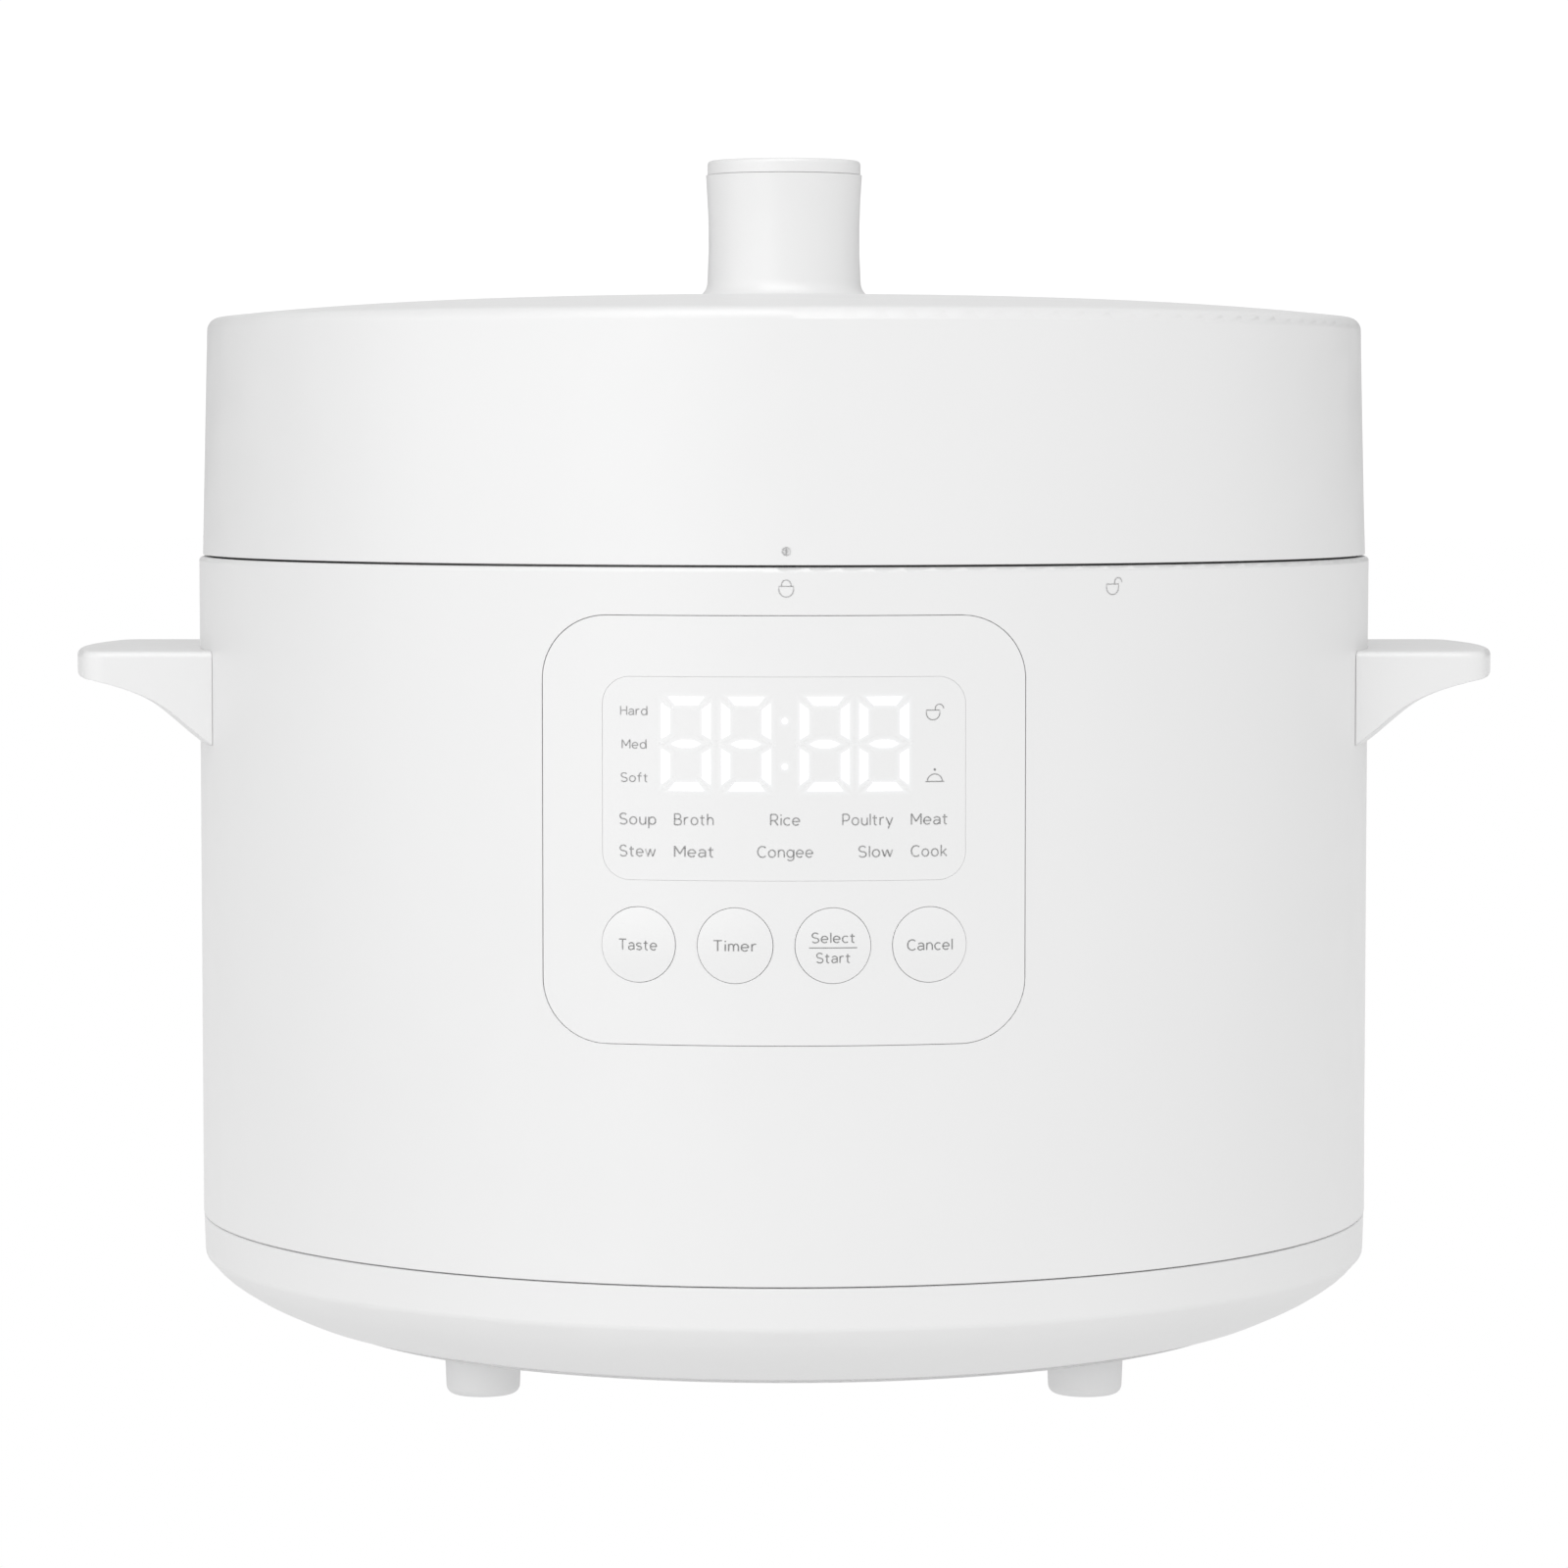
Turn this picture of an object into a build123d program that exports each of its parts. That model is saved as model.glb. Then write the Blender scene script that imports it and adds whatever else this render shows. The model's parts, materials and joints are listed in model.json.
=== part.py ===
from build123d import *
import os
from math import cos, sin, radians, sqrt

# Electric pressure cooker, in millimetres. The origin is on the floor under the vertical axis.
# +Z is up, -Y is the front with the control panel, +X is the right-hand handle.
# Angles around the body are measured from the front, towards the right.

# ------------------------------------------------------------------ driving sizes: body
BODY_RADIUS = 139.0
WALL = 2.5
SHELL_BOTTOM = 34.75
SHELL_TOP = 190.15
SHELL_EDGE = 1.0
SHELL_DRAFT = 0.14
SHELL_INNER = BODY_RADIUS - WALL
SIDE_CORNER = 3.0

# ------------------------------------------------------------------ driving sizes: base and feet
BASE_TOP = 34.45
BASE_RADIUS = 138.75
BASE_SIDE_Z = 25.7
BASE_FLOOR = 9.07
BASE_FLAT_RADIUS = 107.2
BASE_CURVE_WIDTH = 31.3
BASE_CURVE_POWER = 1.394
BASE_EDGE = 0.4
FOOT_PLACE = 68.8
FOOT_TOP_RADIUS = 8.7
FOOT_BOTTOM_RADIUS = 8.4
FOOT_EDGE = 2.0
FOOT_STEM = 2.8
POST_CIRCLE = 88.0
POST_RADIUS = 6.0

# ------------------------------------------------------------------ driving sizes: lid
LID_BOTTOM = 190.65
LID_RADIUS = 138.15
LID_TOP_RADIUS = 136.85
DOME_TOP = 251.2
DOME_DROP = 4.45
DOME_DROP_RADIUS = 130.0
KNOB_RADIUS = 18.25
KNOB_WAIST = 17.93
KNOB_WAIST_Z = 265.0
KNOB_LIP = 18.55
KNOB_FLARE = 18.2
KNOB_FLARE_Z = 275.0
KNOB_TOP = 280.35
KNOB_FILLET = 4.0
KNOB_BORE = 14.2
KNOB_FLOOR = 259.0
CAP_RADIUS = 18.22
CAP_BOTTOM = 280.43
CAP_TOP = 283.8
CAP_EDGE = 1.0
CAP_SEAT = 15.6
CAP_SEAT_Z = 274.0
STEAM_SLOT_HALF = 1.1
STEAM_SLOT_BOTTOM = 262.0
STEAM_SLOT_TOP = 271.0
STEAM_SLOT_ANGLES = (150, 165, 180, 195, 210)

# ------------------------------------------------------------------ driving sizes: pots and bayonet
POT_FLOOR = 60.0
POT_RIM = 200.0
POT_OUTER = 112.0
POT_WALL = 2.0
POT_RIM_RADIUS = 118.0
POT_CORNER = 14.0
HOUSING_INNER = 114.0
HOUSING_WALL = 1.6
HOUSING_BOTTOM = 44.0
HOUSING_FLOOR = 46.0
LUG_COUNT = 6
LUG_WIDTH = 26.0
LUG_UNDER = 192.5
LUG_TOP = 195.7
LUG_RING = 121.0
LUG_RADIUS = 130.0
LID_LUG_BOTTOM = 189.0
LID_LUG_TOP = 191.5
LID_LUG_INNER = 121.8
PLATE_BOTTOM = 206.0
PLATE_TOP = 208.0
SKIRT_OUTER = 133.0
SKIRT_INNER = 131.4
SKIRT_BOTTOM = 188.7
SCREW_CIRCLE = 127.6

# ------------------------------------------------------------------ driving sizes: control panel
PANEL_HALF = 52.35
PANEL_BOTTOM = 87.07
PANEL_TOP = 179.9
PANEL_CORNER = 14.0
PANEL_GAP = 0.12
PANEL_THICK = 2.2
WINDOW_HALF = 39.2
WINDOW_BOTTOM = 122.76
WINDOW_TOP = 166.7
WINDOW_CORNER = 6.0
WINDOW_GAP = 0.03
BUTTON_NAMES = ("taste_button", "timer_button", "start_button", "cancel_button")
BUTTON_ANGLES = (-13.06, -4.35, 4.35, 13.06)
BUTTON_Z = 108.8
BUTTON_RADIUS = 8.15
BUTTON_HOLE = 8.25
BUTTON_TRAVEL = 0.6
SWITCH_TOP = 126.0
BUTTON_RISE = 0.45
BUTTON_FLANGE = 9.2
FRAME_OUTER = 136.3
FRAME_INNER = 133.5
BOARD_FRONT = -121.4
BOARD_BACK = -119.8
BOARD_HALF = 49.0
BOARD_BOTTOM = 88.0
BOARD_TOP = 178.0
DIGIT_CENTRES = (-21.1, -8.2, 8.6, 21.5)
DIGIT_MIDDLE = 152.2
DIGIT_WIDTH = 12.0
DIGIT_HEIGHT = 21.8
COLON_MIDDLE = 0.2
COLON_HEIGHTS = (146.8, 157.0)
LEVEL_MIDDLE = -32.6
LEVEL_HEIGHTS = (145.6, 152.9, 160.2)
ICON_MIDDLE = 32.7
ICON_HEIGHTS = (145.8, 159.6)
PROGRAM_MIDDLES = (-31.4, -15.7, 0.0, 15.7, 31.4)
PROGRAM_HEIGHTS = (129.3, 136.0)
CUT_NEAR = 100.0
CUT_FAR = 150.0

# ------------------------------------------------------------------ driving sizes: handles
HANDLE_TOP = 168.6
HANDLE_TIP = 167.7
HANDLE_TIP_UNDER = 162.0
HANDLE_HALF = 41.5
HANDLE_CORNER = 6.0
HANDLE_EDGE = 1.5
HANDLE_WALL = 3.0
HANDLE_LIP = 1.3
HANDLE_LIP_LEAST = 0.3
HANDLE_ROOT = 138.98
HANDLE_UNDERSIDE = ((158.0, 159.6), (150.5, 156.1), (144.6, 151.4))
HANDLE_ROOT_UNDER = 146.7
HANDLE_SCREW_Y = 25.0
HANDLE_SCREW_Z = 160.0

# ------------------------------------------------------------------ driving sizes: heater and sensor
HEATER_RADIUS = 98.0
HEATER_BOTTOM = 52.0
HEATER_HOLE = 17.0
ELEMENT_RADIUS = 70.0
ELEMENT_TUBE = 4.0
ELEMENT_GAP = 14.0
SENSOR_RADIUS = 11.0
SENSOR_TOP = 59.7
SENSOR_BRIDGE = 40.0
FLOAT_X = 45.0

# ------------------------------------------------------------------ driving sizes: power and inlet
POWER_BOARD_Z = 18.0
POWER_BOARD_THICK = 1.6
INLET_Z = 58.0
INLET_HALF = 25.0
INLET_HEIGHT = 26.0
INLET_FACE = 136.2
INLET_BACK = 119.0
PIN_SPACING = 7.0


# ------------------------------------------------------------------ helpers
def at(radius, height):
    """Point of an upright outline, as a radius and a height."""
    return (radius, 0, height)


def arc(centre_radius, centre_height, radius, start, end):
    """Circular arc of an upright outline, between two angles."""
    angles = (radians(start), radians((start + end) / 2), radians(end))
    points = [at(centre_radius + radius * cos(a), centre_height + radius * sin(a)) for a in angles]
    return ThreePointArc(*points)


def turned(*lines):
    """Solid of revolution from the lines of a closed upright outline."""
    edges = [edge for line in lines for edge in line.edges()]
    return revolve(Face(Wire(edges)), Axis.Z)


def disc(radius, bottom, top):
    return Pos(0, 0, bottom) * Cylinder(radius, top - bottom, align=(Align.CENTER, Align.CENTER, Align.MIN))


def ring(outer, inner, bottom, top):
    return disc(outer, bottom, top) - disc(inner, bottom, top)


def block(x_low, x_high, y_low, y_high, z_low, z_high):
    centre = ((x_low + x_high) / 2, (y_low + y_high) / 2, (z_low + z_high) / 2)
    return Pos(*centre) * Box(x_high - x_low, y_high - y_low, z_high - z_low)


def around(shape, angle):
    """Turn a shape about the vertical axis, from the front towards the right."""
    return Rot(0, 0, angle) * shape


def spot(radius, angle):
    """Plan position at a radius and an angle from the front."""
    return (radius * sin(radians(angle)), -radius * cos(radians(angle)))


def front_prism(half_width, bottom, top, corner, near=CUT_NEAR, far=CUT_FAR):
    """Rounded rectangle as seen from the front, between two depths towards -Y that can pass the wall."""
    outline = RectangleRounded(2 * half_width, top - bottom, corner)
    return extrude(Plane.XZ.offset(near) * Pos(0, (bottom + top) / 2) * outline, amount=far - near)


def front_rod(x, z, radius, near=CUT_NEAR, far=CUT_FAR):
    """Round rod along Y in front of the axis, between two depths that can pass the wall."""
    return extrude(Plane.XZ.offset(near) * Pos(x, z) * Circle(radius), amount=far - near)


def sector(outer, inner, bottom, top, width, angle):
    """Part of a ring, centred on an angle."""
    reach = outer * 2
    half = radians(width / 2)
    side = reach * sin(half)
    front = -reach * cos(half)
    triangle = make_face(Polyline((0, 0), (side, front), (-side, front), close=True))
    wedge = extrude(triangle, amount=top - bottom)
    return around(ring(outer, inner, bottom, top) & (Pos(0, 0, bottom) * wedge), angle)


def screw(head_radius, head_height, shaft_radius, length):
    """Pan-head screw that points up, with the underside of its head at zero and a cross recess."""
    head = disc(head_radius, -head_height, 0)
    slot = Box(head_radius, head_height / 3, head_height / 2)
    cross = Pos(0, 0, -head_height) * (slot + Rot(0, 0, 90) * slot)
    return head + disc(shaft_radius, 0, length) - cross


def dome(radius):
    """Height of the lid's outer face at a radius."""
    return DOME_TOP - DOME_DROP * (radius / DOME_DROP_RADIUS) ** 3


def dome_curve(start, end, drop):
    """Curve along the lid's dome between two radii, lowered by a wall thickness."""
    radii = [start + (end - start) * share / 5 for share in range(6)]
    return Spline(*[at(radius, dome(radius) - drop) for radius in radii])


def base_curve(wall):
    """Rounded lower edge of the base, from its side down to its flat floor."""
    width = BASE_CURVE_WIDTH - wall
    depth = BASE_SIDE_Z - BASE_FLOOR - wall
    points = []
    for step in range(9):
        turn = radians(90 * step / 8)
        across = max(cos(turn), 0) ** BASE_CURVE_POWER
        down = sin(turn) ** BASE_CURVE_POWER
        points.append(at(BASE_FLAT_RADIUS + width * across, BASE_SIDE_Z - depth * down))
    return Spline(*points, tangents=((0, 0, -1), (-1, 0, 0)))


# ------------------------------------------------------------------ body
def outer_shell():
    low_radius = BODY_RADIUS - SHELL_DRAFT
    edge_radius = BODY_RADIUS - SHELL_EDGE
    edge_height = SHELL_TOP - SHELL_EDGE
    wall = turned(
        Polyline(
            at(low_radius - WALL, SHELL_BOTTOM),
            at(low_radius, SHELL_BOTTOM),
            at(BODY_RADIUS, edge_height),
        ),
        arc(edge_radius, edge_height, SHELL_EDGE, 0, 90),
        Polyline(at(edge_radius, SHELL_TOP), at(SHELL_INNER, SHELL_TOP), at(low_radius - WALL, SHELL_BOTTOM)),
    )
    wall -= front_prism(PANEL_HALF, PANEL_BOTTOM, PANEL_TOP, PANEL_CORNER)
    inlet = front_prism(INLET_HALF, INLET_Z - INLET_HEIGHT / 2, INLET_Z + INLET_HEIGHT / 2, SIDE_CORNER)
    wall -= around(inlet, 180)
    for side in (90, -90):
        for y in (-HANDLE_SCREW_Y, HANDLE_SCREW_Y):
            wall -= around(front_rod(y, HANDLE_SCREW_Z, 1.8), side)
    return wall


def control_panel():
    plate = ring(BODY_RADIUS, BODY_RADIUS - PANEL_THICK, PANEL_BOTTOM - 1, PANEL_TOP + 1)
    outline = front_prism(
        PANEL_HALF - PANEL_GAP, PANEL_BOTTOM + PANEL_GAP, PANEL_TOP - PANEL_GAP, PANEL_CORNER - PANEL_GAP
    )
    plate = plate & outline
    plate -= front_prism(WINDOW_HALF, WINDOW_BOTTOM, WINDOW_TOP, WINDOW_CORNER)
    for angle in BUTTON_ANGLES:
        plate -= around(front_rod(0, BUTTON_Z, BUTTON_HOLE), angle)
    return plate


def display_lens():
    plate = ring(BODY_RADIUS, BODY_RADIUS - PANEL_THICK, WINDOW_BOTTOM - 1, WINDOW_TOP + 1)
    low = WINDOW_BOTTOM + WINDOW_GAP
    high = WINDOW_TOP - WINDOW_GAP
    return plate & front_prism(WINDOW_HALF - WINDOW_GAP, low, high, WINDOW_CORNER - WINDOW_GAP)


def panel_frame():
    border = 3.5
    frame = ring(FRAME_OUTER, FRAME_INNER, PANEL_BOTTOM - border, PANEL_TOP + 1.6)
    frame = frame & front_prism(PANEL_HALF + border, PANEL_BOTTOM - border, PANEL_TOP + 1.6, PANEL_CORNER)
    frame -= front_prism(WINDOW_HALF, WINDOW_BOTTOM - 1, WINDOW_TOP + 1, WINDOW_CORNER)
    for angle in BUTTON_ANGLES:
        frame -= around(front_rod(0, BUTTON_Z, BUTTON_FLANGE + 0.9), angle)
    for x, z in board_screw_spots():
        frame += front_rod(x, z, 3.2, -BOARD_FRONT, 126.6)
        frame -= front_rod(x, z, 1.25, -BOARD_FRONT, 126.0)
    return frame


def board_screw_spots():
    return [(x, z) for x in (-45.0, 45.0) for z in (BOARD_BOTTOM + 5, BOARD_TOP - 5)]


def light_cells():
    """Middle, half width and half height of each lit place behind the lens."""
    cells = [(x, DIGIT_MIDDLE, DIGIT_WIDTH / 2, DIGIT_HEIGHT / 2) for x in DIGIT_CENTRES]
    cells += [(COLON_MIDDLE, z, 1.4, 1.5) for z in COLON_HEIGHTS]
    cells += [(LEVEL_MIDDLE, z, 3.4, 2.6) for z in LEVEL_HEIGHTS]
    cells += [(ICON_MIDDLE, z, 3.1, 3.4) for z in ICON_HEIGHTS]
    cells += [(x, z, 6.4, 2.4) for x in PROGRAM_MIDDLES for z in PROGRAM_HEIGHTS]
    return cells


def light_box():
    """Opaque block behind the lens, with one open cell for each digit and each row of small marks."""
    low = WINDOW_BOTTOM + 1.8
    high = WINDOW_TOP - 1.7
    body = ring(FRAME_OUTER, 110, low, high) & front_prism(37.8, low, high, 4, -BOARD_FRONT, CUT_FAR)
    for x, z, half_width, half_height in light_cells():
        body -= block(x - half_width, x + half_width, -CUT_FAR, -110, z - half_height, z + half_height)
    return body


def display_leds():
    """Small light-emitting chips on the board, one in each cell of the light box."""
    chip = block(-1.1, 1.1, BOARD_FRONT - 0.9, BOARD_FRONT, -0.7, 0.7)
    chips = [Pos(x, 0, z) * chip for x, z, half_width, half_height in light_cells()]
    chips += [Pos(x, 0, DIGIT_MIDDLE + z) * chip for x in DIGIT_CENTRES for z in (-7, 7)]
    return Compound(children=chips)


def control_board():
    middle = (BOARD_BOTTOM + BOARD_TOP) / 2
    outline = RectangleRounded(2 * BOARD_HALF, BOARD_TOP - BOARD_BOTTOM, 3)
    board = extrude(Plane.XZ.offset(-BOARD_BACK) * Pos(0, middle) * outline, amount=BOARD_BACK - BOARD_FRONT)
    for x, z in board_screw_spots():
        board -= front_rod(x, z, 1.6, 110, 130)
    return board


def control_chip():
    """Controller package with its row of legs, on the back of the board."""
    chip = block(-34, -22, BOARD_BACK + 0.1, BOARD_BACK + 1.6, 130, 142)
    for step in range(10):
        z = 130.9 + 1.1 * step
        chip += block(-35, -21, BOARD_BACK, BOARD_BACK + 0.3, z, z + 0.5)
    return chip


def tact_switches():
    """Push switches on the board, each turned to face its key."""
    switches = []
    for angle in BUTTON_ANGLES:
        body = front_prism(3, BUTTON_Z - 3, BUTTON_Z + 3, 0.4, 118.0, SWITCH_TOP - 0.7)
        body += front_rod(0, BUTTON_Z, 1.6, SWITCH_TOP - 1.5, SWITCH_TOP)
        switches.append(around(body, angle) & block(-60, 60, -150, BOARD_FRONT, 0, 200))
    return Compound(children=switches)


def button(angle):
    """Round key with a slightly domed face, a retaining flange and a stem to its switch."""
    face_radius = (BUTTON_RADIUS ** 2 + BUTTON_RISE ** 2) / (2 * BUTTON_RISE)
    cap = front_rod(0, BUTTON_Z, BUTTON_RADIUS, 135.5, 141)
    cap = cap & (Pos(0, -(BODY_RADIUS + BUTTON_RISE - face_radius), BUTTON_Z) * Sphere(face_radius))
    key = cap + front_rod(0, BUTTON_Z, BUTTON_FLANGE, 134.8, 136.0)
    key += front_rod(0, BUTTON_Z, 2.2, SWITCH_TOP + BUTTON_TRAVEL + 0.3, 135.5)
    return around(key, angle)


def board_screws():
    body = screw(2.6, 1.6, 1.2, 5.6)
    return Compound(children=[Pos(x, BOARD_BACK, z) * Rot(90, 0, 0) * body for x, z in board_screw_spots()])


# ------------------------------------------------------------------ handles
def handle_blank(inset):
    """Right handle as a block: a turned outline under a rounded plan, shrunk by the inset."""
    top = HANDLE_TOP - inset
    tip = HANDLE_TIP - inset
    lip_radius = max(HANDLE_LIP - inset, HANDLE_LIP_LEAST)
    lip_z = HANDLE_TIP_UNDER + inset + lip_radius
    lip = arc(tip - lip_radius, lip_z, lip_radius, 0, -70)
    foot_of_root = at(HANDLE_ROOT, HANDLE_ROOT_UNDER + inset)
    under = [at(radius - inset, height + inset) for radius, height in HANDLE_UNDERSIDE]
    sweep_line = Spline(lip @ 1, *under, foot_of_root)
    closing = Polyline(foot_of_root, at(HANDLE_ROOT, top), at(tip, top), at(tip, lip_z))
    half = HANDLE_HALF - inset
    plan = (Circle(tip) - Circle(HANDLE_ROOT)) & (Pos(tip, 0) * Rectangle(2 * tip, 2 * half))
    corners = plan.vertices().sort_by(Axis.X)[-2:]
    plan = fillet(corners, HANDLE_CORNER - inset)
    column = Pos(0, 0, HANDLE_ROOT_UNDER - 5) * extrude(plan, amount=HANDLE_TOP - HANDLE_ROOT_UNDER + 10)
    return turned(lip, sweep_line, closing) & column


def handle():
    """Right handle: a moulded grip, hollow towards the body, with two screw bosses."""
    grip = handle_blank(0)
    top_edges = [edge for edge in grip.edges().group_by(Axis.Z)[-1] if edge.center().X > BODY_RADIUS + 5]
    grip = fillet(top_edges, HANDLE_EDGE)
    hollow = handle_blank(HANDLE_WALL)
    for y in (-HANDLE_SCREW_Y, HANDLE_SCREW_Y):
        hollow -= Pos(0, y, HANDLE_SCREW_Z) * Rot(0, 90, 0) * disc(4.0, HANDLE_ROOT - 5, HANDLE_TIP - 5)
    grip -= hollow
    for y in (-HANDLE_SCREW_Y, HANDLE_SCREW_Y):
        grip -= Pos(0, y, HANDLE_SCREW_Z) * Rot(0, 90, 0) * disc(1.5, HANDLE_ROOT - 5, HANDLE_ROOT + 14)
    return grip


def handle_screws():
    body = screw(3.4, 2.2, 1.45, 18)
    seat = sqrt(SHELL_INNER ** 2 - HANDLE_SCREW_Y ** 2) - 1.0
    right = [Pos(seat, y, HANDLE_SCREW_Z) * Rot(0, 90, 0) * body for y in (-HANDLE_SCREW_Y, HANDLE_SCREW_Y)]
    left = [Rot(0, 0, 180) * one for one in right]
    return Compound(children=right + left)


# ------------------------------------------------------------------ base
def post_spots():
    return [spot(POST_CIRCLE, angle) for angle in (0, 90, 180, 270)]


def board_posts():
    return [(x, y) for x in (-38.0, 38.0) for y in (-68.0, -18.0)]


def base_cover():
    low_in = BASE_FLOOR + WALL
    side_in = BASE_FLAT_RADIUS + BASE_CURVE_WIDTH - WALL
    shell = turned(
        Polyline(at(0, BASE_FLOOR), at(0, low_in), at(BASE_FLAT_RADIUS, low_in)),
        base_curve(WALL),
        Polyline(
            at(side_in, BASE_SIDE_Z),
            at(BASE_RADIUS - WALL, BASE_TOP),
            at(BASE_RADIUS - BASE_EDGE, BASE_TOP),
        ),
        arc(BASE_RADIUS - BASE_EDGE, BASE_TOP - BASE_EDGE, BASE_EDGE, 90, 0),
        Polyline(at(BASE_RADIUS, BASE_TOP - BASE_EDGE), at(BASE_FLAT_RADIUS + BASE_CURVE_WIDTH, BASE_SIDE_Z)),
        base_curve(0),
        Polyline(at(BASE_FLAT_RADIUS, BASE_FLOOR), at(0, BASE_FLOOR)),
    )
    shell += ring(BASE_RADIUS - WALL + 0.1, 133.9, 29.0, BASE_TOP)
    shell += ring(SHELL_INNER - SHELL_DRAFT - 0.2, 133.9, BASE_TOP - 1, 40.0)
    for x, y in post_spots():
        shell += Pos(x, y) * disc(POST_RADIUS, low_in - 0.5, HOUSING_BOTTOM)
        shell -= Pos(x, y) * disc(4.2, BASE_FLOOR - 1, 15)
        shell -= Pos(x, y) * disc(2.3, BASE_FLOOR - 1, HOUSING_BOTTOM + 1)
    for x, y in board_posts():
        shell += Pos(x, y) * disc(3.2, low_in - 0.5, POWER_BOARD_Z)
        shell -= Pos(x, y) * disc(1.2, low_in + 0.5, POWER_BOARD_Z + 1)
    for x in (-FOOT_PLACE, FOOT_PLACE):
        for y in (-FOOT_PLACE, FOOT_PLACE):
            shell -= Pos(x, y) * disc(FOOT_STEM + 0.1, BASE_FLOOR - 1, low_in + 1)
    slot = block(-8, 8, -1.4, 1.4, BASE_FLOOR - 1, low_in + 1)
    for row in range(7):
        for x in (-14, 14):
            shell -= Pos(x, 14 + 6.5 * row, 0) * slot
    return shell


def foot(x, y):
    """Round foot with a rounded lower edge and a barbed stem through the base floor."""
    top = BASE_FLOOR
    barb_z = BASE_FLOOR + WALL + 0.1
    body = turned(
        Polyline(at(0, 0), at(FOOT_BOTTOM_RADIUS - FOOT_EDGE, 0)),
        arc(FOOT_BOTTOM_RADIUS - FOOT_EDGE, FOOT_EDGE, FOOT_EDGE, 270, 360),
        Polyline(
            at(FOOT_BOTTOM_RADIUS, FOOT_EDGE),
            at(FOOT_TOP_RADIUS, top),
            at(FOOT_STEM, top),
            at(FOOT_STEM, barb_z),
            at(FOOT_STEM + 1.0, barb_z),
            at(FOOT_STEM - 0.8, barb_z + 3.5),
            at(0, barb_z + 3.5),
            at(0, 0),
        ),
    )
    return Pos(x, y) * body


def base_screws():
    body = screw(3.9, 2.8, 2.1, 35.5)
    return Compound(children=[Pos(x, y, 15) * body for x, y in post_spots()])


def rating_plate():
    return extrude(Pos(0, -45, BASE_FLOOR) * RectangleRounded(60, 30, 2), amount=-0.25)


# ------------------------------------------------------------------ pots
def top_ring():
    """Plastic ring that closes the body round the pot and catches water in its trough."""
    floor_low = 182.0
    floor_top = 184.0
    outer = SHELL_INNER - 0.3
    body = ring(outer, 116.0, floor_low, floor_top)
    body += ring(outer, outer - 2.3, floor_low, SHELL_TOP - 0.25)
    body += ring(118.4, 116.0, 178.0, LUG_UNDER)
    return body


def outer_pot():
    """Pressure housing: a drawn pot with a flat rim ring and bayonet lugs."""
    outer = HOUSING_INNER + HOUSING_WALL
    wall = turned(
        Polyline(at(20, HOUSING_BOTTOM), at(outer - POT_CORNER, HOUSING_BOTTOM)),
        arc(outer - POT_CORNER, HOUSING_BOTTOM + POT_CORNER, POT_CORNER, 270, 360),
        Polyline(
            at(outer, HOUSING_BOTTOM + POT_CORNER),
            at(outer, LUG_UNDER),
            at(LUG_RING, LUG_UNDER),
            at(LUG_RING, LUG_TOP),
            at(HOUSING_INNER, LUG_TOP),
            at(HOUSING_INNER, HOUSING_FLOOR + POT_CORNER - 2),
        ),
        arc(HOUSING_INNER - POT_CORNER + 2, HOUSING_FLOOR + POT_CORNER - 2, POT_CORNER - 2, 360, 270),
        Polyline(at(HOUSING_INNER - POT_CORNER + 2, HOUSING_FLOOR), at(20, HOUSING_FLOOR)),
        Line(at(20, HOUSING_FLOOR), at(20, HOUSING_BOTTOM)),
    )
    for step in range(LUG_COUNT):
        wall += sector(LUG_RADIUS, LUG_RING - 1, LUG_UNDER, LUG_TOP, LUG_WIDTH, step * 360 / LUG_COUNT)
    for x, y in post_spots():
        wall += Pos(x, y) * disc(4.0, HOUSING_FLOOR - 0.5, HEATER_BOTTOM - 0.5)
        wall -= Pos(x, y) * disc(2.15, HOUSING_BOTTOM - 1, HEATER_BOTTOM)
    for x, y in terminal_spots():
        wall -= Pos(x, y) * disc(5.0, HOUSING_BOTTOM - 1, HOUSING_FLOOR + 1)
    return wall


def inner_pot():
    """Removable cooking pot with a rounded floor corner and a rolled rim."""
    inner = POT_OUTER - POT_WALL
    bead = 1.7
    corner_in = POT_CORNER - POT_WALL
    return turned(
        Polyline(at(0, POT_FLOOR), at(POT_OUTER - POT_CORNER, POT_FLOOR)),
        arc(POT_OUTER - POT_CORNER, POT_FLOOR + POT_CORNER, POT_CORNER, 270, 360),
        Polyline(
            at(POT_OUTER, POT_FLOOR + POT_CORNER),
            at(POT_OUTER, POT_RIM - 2 * bead),
            at(POT_RIM_RADIUS - bead, POT_RIM - 2 * bead),
        ),
        arc(POT_RIM_RADIUS - bead, POT_RIM - bead, bead, 270, 450),
        Polyline(at(POT_RIM_RADIUS - bead, POT_RIM), at(inner + bead, POT_RIM)),
        arc(inner + bead, POT_RIM - bead, bead, 90, 180),
        Polyline(at(inner, POT_RIM - bead), at(inner, POT_FLOOR + POT_CORNER)),
        arc(inner - corner_in, POT_FLOOR + POT_CORNER, corner_in, 360, 270),
        Polyline(at(inner - corner_in, POT_FLOOR + POT_WALL), at(0, POT_FLOOR + POT_WALL), at(0, POT_FLOOR)),
    )


# ------------------------------------------------------------------ heater and sensor
def terminal_spots():
    return [spot(ELEMENT_RADIUS, angle) for angle in (-ELEMENT_GAP, ELEMENT_GAP)]


def heating_plate():
    plate = ring(HEATER_RADIUS, HEATER_HOLE, HEATER_BOTTOM, POT_FLOOR)
    return plate - Pos(0, 0, HEATER_BOTTOM) * Torus(ELEMENT_RADIUS, ELEMENT_TUBE)


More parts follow.
